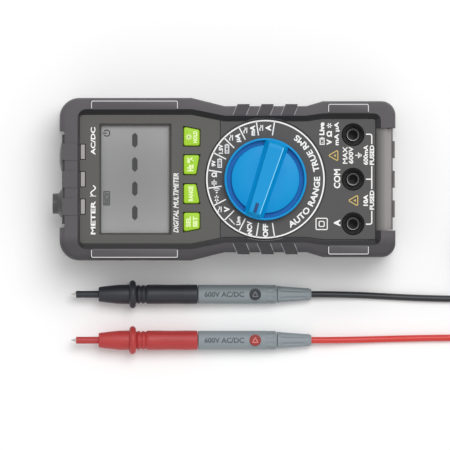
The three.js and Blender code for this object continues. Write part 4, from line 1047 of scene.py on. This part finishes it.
class METER_OT_probes(bpy.types.Operator):
    """Make the two probes: needle, coloured front half, grey handle, badge and strain relief"""

    bl_idname = "meter.probes"
    bl_label = "Probes"

    def execute(self, context):
        for lead in LEADS:
            place = probe_place(lead)
            self.needle(lead, place)
            self.barrel(lead, place)
            self.handle(lead, place)
            self.badge(lead, place)
            self.relief(lead, place)
        return {"FINISHED"}

    def part(self, lead, name, node, surface, coat, slot, smooth=35):
        piece(f"{lead}_{name}", *surface, coat, f"{lead}_lead", slot, f"{lead}_{node}", smooth)

    def needle(self, lead, place):
        start, end = along_probe(lead, "probe_tip")
        profile = [(start, 0), (start + 0.1, 0.12), (start + 1.6, 0.72), (start + 2.2, 0.85)]
        surface = turned([*profile, (end, 0.85), (end, 0)], place, 40)
        self.part(lead, "needle", "probe_tip", surface, "nickel", "nickel")

    def barrel(self, lead, place):
        """Sleeve, cone, round finger guard, two rings and a barrel with soft grip panels."""
        start, end = along_probe(lead, "probe_barrel")
        guard = 26.6
        swell = [
            (guard + 1.4 * math.sin(a), 4.3 + 1.74 * math.cos(a) ** 0.8)
            for a in np.radians(np.linspace(-88, 88, 15))
        ]
        rings = []
        for at in (29.2, 31.2):
            rings += [(at - 0.85, 3.55), (at - 0.5, 3.9), (at, 4.0), (at + 0.5, 3.9), (at + 0.85, 3.55)]
        profile = [(start, 1.2), (start, 1.35), (start + 0.2, 1.5), (11.9, 1.5), (12.0, 1.7)]
        profile += [(12.0, 2.85), (12.25, 3.12), (12.6, 3.2), (17, 3.72), (20.5, 4.1), (22, 4.15)]
        profile += [(25.0, 4.15), *swell, (28.2, 3.7), *rings, (32.4, 3.75), (32.7, 4.05), (33.1, 4.15)]
        waist = [(34 + k, 4.15 - 0.12 * math.sin(math.pi * k / 19) ** 2) for k in range(0, 20)]
        profile += [*waist, (end - 0.5, 4.15), (end - 0.15, 4.05), (end, 3.85), (end, 0.86), (start, 0.86)]
        profile += [(start, 1.2)]

        def panels(along, turn, radius):
            """Three shallow ribs lie along each flank of the barrel."""
            inside = np.clip(np.minimum(along - 35, 51.5 - along) / 1.5, 0, 1)
            return radius + 0.07 * inside * np.cos(turn * 12) * (np.abs(np.cos(turn)) > 0.55)

        surface = turned(profile, place, 144, panels)
        self.part(lead, "front_half", "probe_barrel", surface, lead, f"{lead}_plastic")
        self.wrapped(lead, place, "barrel_lettering", "TEST LEAD", 38, 50, 1.5, 4.12, lead)

    def handle(self, lead, place):
        """The grey grip, with ten short hollows round its rear."""
        start, end = along_probe(lead, "probe_handle")
        profile = [(start, 0), (start, 3.8), (start + 0.15, 4.0), (start + 0.4, 4.05)]
        profile += [(start + k, 4.05) for k in np.arange(2, 28.5, 1.5)]
        profile += [(end - 5.2, 4.05), (end - 4.7, 4.05), (end - 4.4, 4.05), (end - 1.4, 4.05)]
        profile += [(end - 1.1, 4.05), (end - 0.7, 4.0), (end - 0.45, 3.75), (end, 3.7), (end, 0)]

        def hollows(along, turn, radius):
            """Ten short hollows lie round the rear of the grip."""
            inside = (along > end - 4.6) * (along < end - 1.2)
            return radius - 0.3 * inside * np.clip(np.cos(turn * 10) * 1.8 + 0.2, 0, 1)

        surface = turned(profile, place, 160, hollows)
        self.part(lead, "grip", "probe_handle", surface, "grip", "grip_plastic")
        # the rating's raised letters are painted dark, as the shade of engraved letters
        rating = (start + 2.6, start + 19.6)
        self.wrapped(lead, place, "grip_rating", "600V AC/DC", *rating, 2.3, 4.05, "grip_print")

    def wrapped(self, lead, place, name, words, start, end, tall, radius, coat):
        """Raised letters that follow a round surface: across them is an angle about the axis."""
        origin, d, u, v = place
        share, faces = shares(words, 0, 0.03, slices=9)
        reach = radius - 0.1 + 0.17 * share[:, 2]
        across = (share[:, 1] - 0.5) * tall / radius
        along = start + (end - start) * share[:, 0]
        outward = np.sin(across)[:, None] * u + np.cos(across)[:, None] * self.up(v)
        placed = origin + along[:, None] * d + reach[:, None] * outward
        slot = f"{lead}_plastic" if coat == lead else "grip_plastic"
        piece(f"{lead}_{name}", placed, faces, coat, f"{lead}_lead", slot, smooth=30)

    def up(self, v):
        """That direction across the probe, or its opposite, which points up."""
        return v if v[2] > 0 else -v

    def badge(self, lead, place):
        """A round button with a raised triangle, set into the top of the grip."""
        origin, d, u, v = place
        start, end = along_probe(lead, "probe_badge")
        centre = (start + end) / 2
        up = self.up(v)
        around = (origin + centre * d, up, d, np.cross(up, d))
        profile = [(3.0, 0), (3.0, 2.5), (4.1, 2.5), (4.17, 2.35), (4.17, 1.95), (4.1, 1.85), (4.1, 0)]
        slot = f"{lead}_plastic"
        button = turned(profile, around, 64)
        self.part(lead, "badge_button", "probe_badge", button, f"{lead}_badge", slot)
        # the raised triangle is lighter: a painted highlight on its lines
        outer = rounded([(-1.5, -1.15), (1.5, -1.15), (0, 1.55)], 0.25, 4)
        rings = [(outer, 4.0), (outer, 4.26), (inset(outer, 0.4), 4.26), (inset(outer, 0.4), 4.0)]
        stack = [around[0] + r[:, :1] * d + r[:, 1:] * u + h * up for r, h in rings]
        corners = np.concatenate(stack)
        faces = grid_faces(4, len(outer), closed_rows=True).tolist()
        piece(f"{lead}_badge_sign", corners, faces, f"{lead}_sign", f"{lead}_lead", slot)

    def relief(self, lead, place):
        """A tapering relief with long sunk flutes: the radius dips by a squared cosine."""
        start, end = along_probe(lead, "strain_relief")
        profile = [(start, 0), (start, 3.5), (start + 0.2, 3.62)]
        steps = np.linspace(start + 0.3, end - 0.9, 30)
        profile += [(a, 3.62 + (2.5 - 3.62) * (a - start) / (end - start)) for a in steps]
        profile += [(end - 0.6, 2.3), (end - 0.3, 2.3), (end, 2.1), (end, 0)]

        def flutes(along, turn, radius):
            share = np.clip((along - start - 1.2) / 1.2, 0, 1) * np.clip((end - 2.2 - along) / 1.5, 0, 1)
            dip = np.clip(np.cos(turn * 6) * 2.2 - 0.9, 0, 1)
            return radius - 0.42 * share * dip

        surface = turned(profile, place, 144, flutes)
        self.part(lead, "relief_fluted", "strain_relief", surface, "grip", "grip_plastic", 50)


# ------------------------------------------------------------------ housing


class METER_OT_holster(bpy.types.Operator):
    """Make the rubber holster with its hard lands on the rim"""

    bl_idname = "meter.holster"
    bl_label = "Holster"

    LANDS = ((-58.3, -21.1, 33.6), (42.9, 60.4, 32.2))

    def execute(self, context):
        softened("holster", "holster", "holster_rubber", edge=0.6 * MM)
        top = span("holster", 2)[1]
        for i, (left, right, outer) in enumerate(self.LANDS):
            for side in (1, -1):
                self.land(f"rim_land_{i + 1}_{'far' if side > 0 else 'near'}", left, right, outer, side, top)
        return {"FINISHED"}

    def land(self, name, left, right, outer, side, top):
        """A hard plate let into the rim, with a painted highlight along its outer edge and ends."""
        ys = sorted((side * outer, side * (outer - 3.9)))
        outline = rounded([(left, ys[0]), (right, ys[0]), (right, ys[1]), (left, ys[1])], 0.8, 5)
        steps = [(0, top - 1.2), (0, top - 0.1), (0.08, top + 0.02), (0.3, top + 0.06)]
        piece(name, *stacked(outline, steps), "land", "housing", "case_plastic")
        # a painted highlight along the outer edge and the ends
        far, near = (ys[1], ys[0]) if side > 0 else (ys[0], ys[1])
        far, near = far - side * 0.25, near + side * 0.5
        path = [(left + 0.25, near), (left + 0.25, far), (right - 0.25, far), (right - 0.25, near)]
        line = stroke(rounded(path, 0.6, 4, closed=False), 0.34, top + 0.07)
        marks(f"{name}_edge", [line], "land_edge", "case_plastic")


class METER_OT_case(bpy.types.Operator):
    """Make the case halves, the back's cover, stand and screws, and paint what is inside"""

    bl_idname = "meter.case"
    bl_label = "Case"

    def execute(self, context):
        for node in ("front_case", "rear_case", "battery_cover"):
            softened(node, "case")
        softened("tilt_stand", "case", body="stand", edge=0.3 * MM)
        repaint("board", "main_board")
        repaint("cell", "battery_1", "battery_2")
        repaint("ceramic", "fuse_10a", "fuse_ma")
        repaint("jack", "buzzer", "selector_rotor")
        repaint("rubber", "keypad")
        repaint("signal", "backlight")
        for node in ("battery_cover_screw", *(f"case_screw_{k}" for k in range(1, 5))):
            softened(node, "steel", edge=0.12 * MM)
        return {"FINISHED"}


class METER_OT_top_end(bpy.types.Operator):
    """Make the torch, the sensor's cover and the signal lights at the display end"""

    bl_idname = "meter.top_end"
    bl_label = "Display end"

    def execute(self, context):
        self.torch()
        self.sensor()
        softened("light_guide", "signal", edge=0.12 * MM)
        return {"FINISHED"}

    def outward(self, node):
        """An axis that points out of the display end, starting at the node's inner face."""
        _, y, z = middle(node)
        across, along, up = np.eye(3)
        return np.array([span(node, 0)[1], y, z]), -across, along, -up

    def torch(self):
        """A barrel on a flared foot, knurled by shallow flats, round a domed lens."""
        place = self.outward("torch_bezel")
        profile = [(0, 3.1), (0, 6.0), (0.35, 5.9), (0.7, 5.2), (1.1, 4.7), (1.6, 4.4), (2.0, 4.33)]
        profile += [(3.4, 4.33), (3.7, 4.25), (3.88, 4.0), (3.88, 3.5), (3.7, 3.3), (2.6, 3.1), (0, 3.1)]

        def flats(along, turn, radius):
            knurl = np.clip(along - 2.0, 0, 0.3) / 0.3 * np.clip(3.6 - along, 0, 0.3) / 0.3
            return radius - 0.1 * knurl * (np.cos(turn * 18) > 0) * (radius > 4.2)

        barrel = turned(profile, place, 144, flats)
        piece("torch_barrel", *barrel, "fittings", "housing", "case_plastic", "torch_bezel", 35)
        dome = [(2.0 + 0.95 * math.cos(a), 2.75 * math.sin(a)) for a in np.linspace(0, math.pi / 2, 12)]
        glass = turned([*dome, (0, 2.75), (0, 0)], place, 64)
        piece("torch_glass", *glass, "lens", "housing", "window", "torch_lens")

    def sensor(self):
        """A shallow dome: its height falls as the square of the distance from its middle."""
        place = self.outward("sensor_cover")
        share = np.linspace(0, 1, 14)
        profile = [(0.88 * (1 - s * s) + 0.02, 6.5 * s) for s in share]
        dome = turned([*profile, (0, 6.5), (0, 0)], place, 72)
        piece("sensor_dome", *dome, "fittings", "housing", "case_plastic", "sensor_cover")


# ------------------------------------------------------------------ front panel

DIAL = middle("dial_plate")[:2]
DIAL_TOP = span("dial_plate", 2)[1]
LABELS_AT = 21.9  # the radius on which the dial's labels stand
JACKS = ("volt", "common", "amp")


class METER_OT_panels(bpy.types.Operator):
    """Make the display bezel, the jack panel and the dial with their printed marks"""

    bl_idname = "meter.panels"
    bl_label = "Panels"

    def execute(self, context):
        softened("display_bezel", "bezel", edge=0.3 * MM)
        softened("jack_panel", "jack_panel", edge=0.3 * MM)
        softened("dial_plate", "jack_panel", edge=0.2 * MM)
        self.bezel_marks(PANEL_TOP + PRINT_LIFT)
        self.dial_marks(DIAL_TOP + PRINT_LIFT)
        self.jack_marks(PANEL_TOP + PRINT_LIFT)
        return {"FINISHED"}

    def bezel_marks(self, z):
        wave = np.linspace(0, 2 * math.pi, 40)
        glyph = np.column_stack([-57.4 - 0.95 * np.sin(wave), -7.0 + 4.3 * wave / (2 * math.pi)])
        parts = [
            fitted("METER", (-58.4, -56.4), (-23.6, -9.3), z, weight=0.03),
            stroke(glyph, 0.5, z),
            stroke([(-58.7, -7.2), (-56.1, -7.2)], 0.3, z),
            fitted("AC/DC", (-58.4, -56.4), (10.4, 22.2), z, weight=0.03),
            fitted("DIGITAL MULTIMETER", (-23.1, -20.9), (-22.8, 2.6), z, 0.02, italic=0.25),
        ]
        marks("bezel_print", parts, "print", "panel")

    def dial_marks(self, z):
        """A ring, the rays between the eleven positions, their labels and the words round the rest."""
        parts = [stroke(arc(DIAL, 25.0, 0, 360, 145)[:-1], 0.6, z, closed=True)]
        for k in range(12):
            angle = math.radians(81 + 18 * k)
            ray = np.array([math.cos(angle), math.sin(angle)])
            parts.append(stroke([DIAL + ray * 18.9, DIAL + ray * 24.9], 0.5, z))
        parts += self.ranges(z)
        parts.append(bent("AUTO RANGE  TRUE RMS", DIAL, 23.4, 2.7, (-63, 55), z, 0.03))
        marks("dial_print", parts, "print", "panel")

    def at(self, angle):
        """Where a position's label stands on the dial."""
        turn = math.radians(angle)
        return DIAL[0] + LABELS_AT * math.cos(turn), DIAL[1] + LABELS_AT * math.sin(turn)

    def ranges(self, z):
        """What the dial selects: each label reads along +Y, its tops towards the display."""
        parts = []
        for angle, unit, tall in ((90, "A", 2.4), (108, "mA", 2.2), (126, "µA", 2.7), (216, "V", 2.4)):
            x, y = self.at(angle)
            parts.append(centred(unit, x + 1.25, y, z, tall, 0.05, 1.05))
            parts += self.alternating(x - 1.6, y, z)
        for angle, unit in ((144, "1.5V"), (162, "9V")):
            x, y = self.at(angle)
            parts.append(centred(unit, x - 1.3, y, z, 1.8, 0.045))
            parts += self.cell_sign(x + 1.3, y, z)
        x, y = self.at(180)
        parts.append(centred("Ω", x, y + 1.9, z, 2.3, 0.05))
        parts += self.capacitor(x, y - 1.6, z)
        x, y = self.at(198)
        parts += self.diode(x, y - 1.7, z)
        parts += self.buzzer(x, y + 2.0, z)
        x, y = self.at(234)
        parts.append(centred("Live", x + 1.3, y, z, 1.8, 0.045))
        parts += self.bolt(x - 1.4, y - 0.6, z)
        x, y = self.at(252)
        parts.append(centred("NCV", x, y, z, 2.2, 0.05))
        x, y = self.at(270)
        parts.append(centred("OFF", x, y, z, 2.3, 0.05, 1.1))
        return parts

    def alternating(self, x, y, z):
        """A wave over a bar: alternating and direct current."""
        t = np.linspace(0, 2 * math.pi, 16)
        wave = np.column_stack([x - 0.55 - 0.35 * np.sin(t), y - 1.2 + 1.2 * t / math.pi])
        return lines(z, wave, [(x + 0.4, y - 1.2), (x + 0.4, y + 1.2)])

    def cell_sign(self, x, y, z, wide=1.7, tall=0.75):
        """A battery: a box with a nub and a bar in it."""
        box = [(x - tall, y - wide), (x + tall, y - wide), (x + tall, y + wide), (x - tall, y + wide)]
        inside = lines(
            z,
            [(x - 0.3, y + wide + 0.3), (x + 0.3, y + wide + 0.3)],
            [(x, y - wide + 0.5), (x, y - 0.3)],
            [(x, y + 0.4), (x, y + wide - 0.5)],
            [(x - 0.4, y + 0.85), (x + 0.4, y + 0.85)],
        )
        return [stroke(box, SIGN_WIDTH, z, closed=True), *inside]

    def capacitor(self, x, y, z):
        return lines(
            z,
            [(x, y - 1.4), (x, y - 0.4)],
            [(x - 1.15, y - 0.4), (x + 1.15, y - 0.4)],
            [(x - 1.15, y + 0.4), (x + 1.15, y + 0.4)],
            [(x, y + 0.4), (x, y + 1.4)],
        )

    def diode(self, x, y, z):
        head = plate([(x - 0.95, y - 0.8), (x + 0.95, y - 0.8), (x, y + 0.7)], z)
        bar = [(x - 0.95, y + 0.8), (x + 0.95, y + 0.8)]
        return [head, *lines(z, bar, [(x, y - 1.7), (x, y + 1.7)])]

    def buzzer(self, x, y, z):
        dot = arc((x, y - 0.9), 0.36, 0, 330, 12)
        waves = [arc((x, y - 0.9), radius, 45, 135, 10) for radius in (1.0, 1.85)]
        return [plate(dot, z), *lines(z, *waves, width=FINE_WIDTH)]

    def bolt(self, x, y, z):
        path = [(x - 1.2, y + 1.6), (x + 0.1, y - 0.1), (x - 0.35, y + 0.95), (x + 1.1, y - 1.0)]
        return lines(z, path, width=FINE_WIDTH)

    def jack_marks(self, z):
        labels = (
            ("Live", (39.2, 41.4), (18.8, 24.3), 0.05),
            ("V", (42.3, 44.6), (14.6, 17.1), 0.05),
            ("Ω", (42.3, 44.6), (18.1, 20.6), 0.05),
            ("mA µA", (45.6, 47.9), (14.5, 24.4), 0.035),
            ("COM", (45.4, 48.2), (-3.9, 4.3), 0.03),
            ("A", (45.4, 48.2), (-20.1, -17.2), 0.04),
            ("MAX", (49.2, 51.2), (6.6, 13.9), 0.02),
            ("600V", (51.7, 53.7), (6.6, 13.9), 0.025),
            ("600mA", (58.0, 60.0), (6.1, 14.5), 0.03),
            ("FUSED", (60.7, 62.6), (6.1, 14.5), 0.035),
            ("10A", (58.0, 60.0), (-11.4, -6.6), 0.045),
            ("FUSED", (60.7, 62.6), (-13.0, -4.8), 0.035),
        )
        parts = [fitted(words, x, y, z, weight) for words, x, y, weight in labels]
        parts += self.cell_sign(40.4, 16.2, z, 1.3, 0.85)
        for turn in (0, 60, 120):
            ray = 1.15 * np.array([math.cos(math.radians(turn)), math.sin(math.radians(turn))])
            star = np.array([43.5, 22.9])
            parts += lines(z, [star - ray, star + ray])
        parts += self.earth(55.8, 10.2, z)
        bar = 61.6
        parts += [
            stroke(rounded([(59.1, 19.2), (bar, 19.2), (bar, 15.0)], 0.8, 4, closed=False), 0.5, z),
            stroke([(bar, 5.6), (bar, -4.2)], 0.5, z),
            stroke([(59.1, 0), (bar - 0.2, 0)], 0.5, z),
            stroke(rounded([(bar, -13.5), (bar, -19.2), (59.1, -19.2)], 0.8, 4, closed=False), 0.5, z),
        ]
        for reach in (1.1, 2.4):
            square = [(40.2 + reach * a, -19.1 + reach * b) for a, b in SQUARE]
            parts.append(stroke(rounded(square, 0.5, 4), 0.42, z, closed=True))
        marks("jack_panel_print", parts, "print", "panel")
        signs = []
        for x, y in ((43.1, 10.1), (51.6, -9.1)):
            triangle = rounded([(x, y), (x + 4, y - 2.3), (x + 4, y + 2.3)], 0.35, 4)
            small = [(x + 2.1, y), (x + 3.2, y - 0.6), (x + 3.2, y + 0.6)]
            signs += [stroke(triangle, 0.42, z, closed=True), plate(small, z)]
        marks("jack_panel_signs", signs, "amber", "panel")

    def earth(self, x, y, z):
        bars = []
        for k in range(3):
            level, half = x + 0.1 + 0.6 * k, 1.2 - 0.4 * k
            bars.append([(level, y - half), (level, y + half)])
        return lines(z, [(x - 1.3, y), (x + 0.1, y)], *bars)


class METER_OT_display(bpy.types.Operator):
    """Make the display: grey glass, dark segments and the clear window over them"""

    bl_idname = "meter.display"
    bl_label = "Display"

    def execute(self, context):
        repaint("lcd", "lcd_glass")
        softened("display_window", "window", "display_window_clear", edge=0.15 * MM)
        z = span("lcd_glass", 2)[1] + 0.03
        centre_x = -39.6
        parts = []
        for k in range(4):
            y = 16.65 - 10.34 * k
            parts.append(plate(self.dash(centre_x, y, 2.3, 6.5), z))
        parts.append(stroke(arc((-51.6, 19.7), 1.3, 215, 505, 28), 0.45, z))
        parts.append(stroke([(-53.3, 19.7), (-51.6, 19.7)], 0.45, z))
        box = rounded([(-53, -11.2), (-50.2, -11.2), (-50.2, -5.1), (-53, -5.1)], 0.4, 4)
        parts.append(stroke(inset(box, 0.12), 0.3, z, closed=True))
        parts.append(fitted("NCV", (-52.6, -50.6), (-10.6, -5.7), z + 0.04, weight=0.01))
        marks("display_segments", parts, "segment", "lcd")
        marks("display_sign_shade", [plate(inset(box, 0.3), z)], "segment_shade", "lcd")
        return {"FINISHED"}

    def dash(self, x, y, thick, long):
        """A hexagonal bar of a seven-segment figure."""
        half, end = thick / 2, long / 2
        right = [(x + half, y - end + half), (x + half, y + end - half)]
        left = [(x - half, y + end - half), (x - half, y - end + half)]
        return [(x, y - end), *right, (x, y + end), *left]


class METER_OT_keys(bpy.types.Operator):
    """Make the four soft keys and their labels"""

    bl_idname = "meter.keys"
    bl_label = "Keys"

    OUTER = ((-18.7, 14.3), (-11.9, 14.3), (-11.9, 21.1), (-18.7, 22.4))
    INNER = ((-18.7, 2.1), (-13.4, 2.1), (-11.9, 10.3), (-18.7, 10.3))

    def execute(self, context):
        self.key("light", self.OUTER, 1)
        self.key("hertz", self.INNER, 1)
        self.key("range", self.INNER, -1)
        self.key("select", self.OUTER, -1)
        return {"FINISHED"}

    def key(self, name, outline, flip):
        """A cap whose edge rolls over and whose face rises to a shallow crown."""
        points = (np.array(outline) * (1, flip))[::flip]
        outline = rounded(points, 0.9, 6)
        low, top = span(f"key_{name}", 2)
        rings = [(0, low), (0, top - 0.7), (0.03, top - 0.42), (0.12, top - 0.2), (0.3, top - 0.06)]
        rings += [(0.6, top)]
        foot = stacked(inset(rounded(points, 0.5, 6), -0.85), [(0, low), (0, low + 1.05)])
        surface, body = joined(stacked(outline, rings), foot), f"{name}_key"
        piece(f"key_{name}_cap", *surface, "key", body, "keys", f"key_{name}", 50)
        label = self.label(name, *points.mean(0), top + PRINT_LIFT)
        marks(f"key_{name}_print", label, "key_print", "keys", body)

    def label(self, name, x, y, z):
        if name == "light":
            sun = np.array([x - 1.2, y])
            turns = np.radians((0, 45, 90, 135))
            rays = [np.array([math.cos(turn), math.sin(turn)]) * 1.35 for turn in turns]
            rays = lines(z, *([sun - ray, sun + ray] for ray in rays), width=FINE_WIDTH)
            return [*rays, fitted("HOLD", (x + 0.6, x + 2.4), (y - 2.5, y + 2.5), z, weight=0.045)]
        if name == "hertz":
            return [
                fitted("Hz", (x - 1.6, x + 1.2), (y - 2.8, y + 0.1), z, weight=0.055),
                fitted("%", (x - 1.6, x + 1.2), (y + 0.7, y + 3.1), z, weight=0.045),
            ]
        if name == "range":
            return [fitted("RANGE", (x - 1.0, x + 1.1), (y - 3.2, y + 3.2), z, weight=0.045)]
        return [
            fitted("SEL", (x - 2.4, x - 0.4), (y - 2.4, y + 2.1), z, weight=0.04),
            fitted("SET", (x + 0.5, x + 2.5), (y - 2.4, y + 2.1), z, weight=0.05),
        ]


# ------------------------------------------------------------------ selector and jacks

MOAT = (14.5, 16.6)  # the groove's inner and outer radius
RIDGE_HEIGHT = 3.6  # the finger ridge above the knob's disc
RIDGE_WIDTHS = (6.5, 4.7)  # at its far end and at the pointer's
RIDGE_SPREAD = 2.0  # how far each side slopes out
POINTER_ANGLE = 252  # degrees from +X, at rest


class METER_OT_selector(bpy.types.Operator):
    """Make the selector knob: rim, groove, disc, finger ridge and pointer"""

    bl_idname = "meter.selector"
    bl_label = "Selector"

    def execute(self, context):
        low, high = span("selector_knob", 2)
        base = DIAL_TOP + 0.3
        disc = high - RIDGE_HEIGHT
        rim = disc + 1.0
        radius = (span("selector_knob", 0)[1] - span("selector_knob", 0)[0]) / 2
        section = [(low, 0), (low, 3.9), (base - 4.5, 3.9), (base - 4.5, 8.0), (base, 8.0)]
        section += [(base, radius - 0.3), (base + 0.3, radius), (rim - 0.75, radius - 0.06)]
        section += [(rim - 0.3, radius - 0.16), (rim - 0.06, radius - 0.36), (rim, radius - 0.55)]
        section += [(rim - 0.06, MOAT[1] + 0.12), (rim - 0.2, MOAT[1] + 0.02)]
        section += [(disc - 2.0, MOAT[1] - 0.1), (disc - 2.0, MOAT[0] + 0.1)]
        section += [(disc - 0.4, MOAT[0] + 0.02), (disc - 0.12, MOAT[0] - 0.06)]
        section += [(disc, MOAT[0] - 0.3), (disc + 0.1, 8.0), (disc + 0.12, 0)]
        surface = joined(turned(section, upright(*DIAL), 160), self.ridge(disc, high, radius))
        piece("selector_knob_turned", *surface, "knob", "selector", "knob", "selector_knob", 32)
        self.pointer(high)
        self.ridge_highlight(high, radius)
        return {"FINISHED"}

    def ridge_highlight(self, top, radius):
        """A painted highlight: a bright line along the ridge's edge."""
        reach = radius - 2.6
        share = np.linspace(-1, 1, 12)
        across = (RIDGE_WIDTHS[0] + (RIDGE_WIDTHS[1] - RIDGE_WIDTHS[0]) * (share + 1) / 2) / 2
        line = stroke(np.column_stack([share * reach, across]), 0.34, top)
        self.on_ridge("selector_highlight", *line, "knob_edge", 50)

    def on_ridge(self, name, corners, faces, coat, smooth):
        """A piece that lies along the ridge, from its corners along it, across it and up."""
        placed = np.column_stack([*self.spin(corners[:, 0], corners[:, 1]), corners[:, 2]])
        piece(name, placed, faces, coat, "selector", "knob", smooth=smooth)

    def spin(self, along, across):
        """A place on the knob from its distance along the ridge and across it."""
        turn = math.radians(POINTER_ANGLE)
        return (
            DIAL[0] + along * math.cos(turn) - across * math.sin(turn),
            DIAL[1] + along * math.sin(turn) + across * math.cos(turn),
        )

    def ridge(self, disc, top, radius):
        """The finger ridge as a height over (along, across).

        The height is the lesser of the section, which is flat between two hollow side slopes, and
        the slopes at both ends, which follow a circle inside the rim.
        """
        foot, end_run = disc - 2.05, 1.7
        share = np.concatenate([[0, 0.012, 0.03, 0.048, 0.06], np.linspace(0.1, 0.5, 9)])
        share = (np.concatenate([share, 1 - share[-2::-1]]) * 2 - 1)[:, None]
        half = (RIDGE_WIDTHS[0] + (RIDGE_WIDTHS[1] - RIDGE_WIDTHS[0]) * (share + 1) / 2) / 2
        steps = np.array([-1, -0.9, -0.5, -0.2, -0.08, 0])
        wide = np.concatenate([-half + steps * RIDGE_SPREAD, half * np.linspace(-0.9, 0.9, 5)], 1)
        wide = np.concatenate([wide, half - steps[::-1] * RIDGE_SPREAD], 1)
        reach = np.sqrt((radius - 0.62) ** 2 - wide**2)
        along = share * reach
        rise = top - disc + 0.1
        out = np.clip((np.abs(wide) - half) / RIDGE_SPREAD, 0, 1)
        side = top - rise * out**0.7
        end = disc + 0.9 + (reach - np.abs(along)) * ((top - disc - 0.9) / end_run)
        height = np.minimum(side, end)
        x, y = self.spin(along, wide)
        upper = np.stack([x, y, height], -1)
        lower = np.stack([x, y, np.full_like(height, foot)], -1)
        rows, columns = height.shape
        count = rows * columns
        faces = grid_faces(rows, columns, closed_columns=False).tolist()
        under = [[count + i for i in face[::-1]] for face in faces]
        index = np.arange(count).reshape(rows, columns)
        loop = np.concatenate([index[0, :-1], index[:-1, -1], index[-1, :0:-1], index[:0:-1, 0]])
        after = np.roll(loop, -1)
        walls = np.stack([after, loop, loop + count, after + count], 1).tolist()
        return np.concatenate([upper.reshape(-1, 3), lower.reshape(-1, 3)]), faces + under + walls

    def pointer(self, top):
        """The pointer: a dark plate with round ends near the ridge's end, painted shade of a recessed slot.
        """
        near, far, half = 10.7, 15.1, 0.75
        outline = rounded([(near, -half), (far, -half), (far, half), (near, half)], 0.4, 5)
        slot = stacked(outline, [(0, top - 0.5), (0, top + 0.01), (0.05, top + 0.03)])
        self.on_ridge("selector_pointer_shade", *slot, "pointer", 40)


class METER_OT_jacks(bpy.types.Operator):
    """Make the three input jacks: a black shroud and a metal socket in it"""

    bl_idname = "meter.jacks"
    bl_label = "Jacks"

    def execute(self, context):
        for jack in JACKS:
            x, y, _ = middle(f"jack_shroud_{jack}")
            low, top = span(f"jack_shroud_{jack}", 2)
            ring = [(low, 3.05), (low, 4.6), (top - 0.35, 4.6), (top - 0.1, 4.52), (top, 4.38)]
            ring += [(top - 0.1, 4.2), (top - 0.4, 4.15), (low + 1.5, 4.15), (low + 1.5, 3.05)]
            ring += [(low, 3.05)]
            node = f"jack_shroud_{jack}"
            self.part(f"jack_ring_{jack}", ring, 72, x, y, "jack", "black_plastic", node)
            low, top = span(f"jack_sleeve_{jack}", 2)
            tube = [(low, 0), (low, 2.75), (top - 0.15, 2.75), (top, 2.6), (top - 0.02, 2.42)]
            tube += [(top - 0.2, 2.3), (low + 0.9, 2.3), (low + 0.9, 0)]
            node = f"jack_sleeve_{jack}"
            self.part(f"jack_socket_{jack}", tube, 72, x, y, "socket", "nickel", node)
            # a black lining: painted shade deep in the socket's bore
            bore_shade = [(low + 1, 2.28), (top - 0.25, 2.28), (top - 0.25, 1.95), (low + 1.5, 1.9)]
            bore_shade += [(low + 1.5, 0), (low + 1, 0), (low + 1, 2.28)]
            self.part(f"jack_lining_{jack}", bore_shade, 48, x, y, "jack", "black_plastic")
        return {"FINISHED"}

    def part(self, name, profile, segments, x, y, coat, slot, node=None):
        surface = turned(profile, upright(x, y), segments)
        piece(name, *surface, coat, "housing", slot, node, 35)


# ------------------------------------------------------------------ panel and registration

STEPS = (
    METER_OT_stage,
    METER_OT_cords,
    METER_OT_probes,
    METER_OT_holster,
    METER_OT_case,
    METER_OT_top_end,
    METER_OT_panels,
    METER_OT_display,
    METER_OT_keys,
    METER_OT_selector,
    METER_OT_jacks,
)


class METER_PT_sidebar(bpy.types.Panel):
    """Lists the steps and the settings"""

    bl_idname = "METER_PT_sidebar"
    bl_label = "Multimeter"
    bl_space_type = "VIEW_3D"
    bl_region_type = "UI"
    bl_category = "Meter"

    def draw(self, context):
        for step in STEPS:
            self.layout.operator(step.bl_idname, text=step.bl_label)
        for group in ("colours", "lead_colours", "leads", "finish", "stage"):
            box = self.layout.box()
            values = getattr(context.scene.multimeter, group)
            for name in values.bl_rna.properties.keys():
                if name not in ("rna_type", "name"):
                    box.prop(values, name)


GROUPS = (MeterColours, LeadColours, LeadSizes, FinishSizes, StageSettings, MeterSettings)
CLASSES = (*GROUPS, *STEPS, METER_PT_sidebar)


def register():
    for each in CLASSES:
        bpy.utils.register_class(each)
    bpy.types.Scene.multimeter = PointerProperty(type=MeterSettings)


def unregister():
    del bpy.types.Scene.multimeter
    for each in reversed(CLASSES):
        bpy.utils.unregister_class(each)


def main():
    """Registers the add-on and runs its steps in order."""
    register()
    for step in STEPS:
        area, name = step.bl_idname.split(".")
        getattr(getattr(bpy.ops, area), name)()


if __name__ == "__main__":
    main()
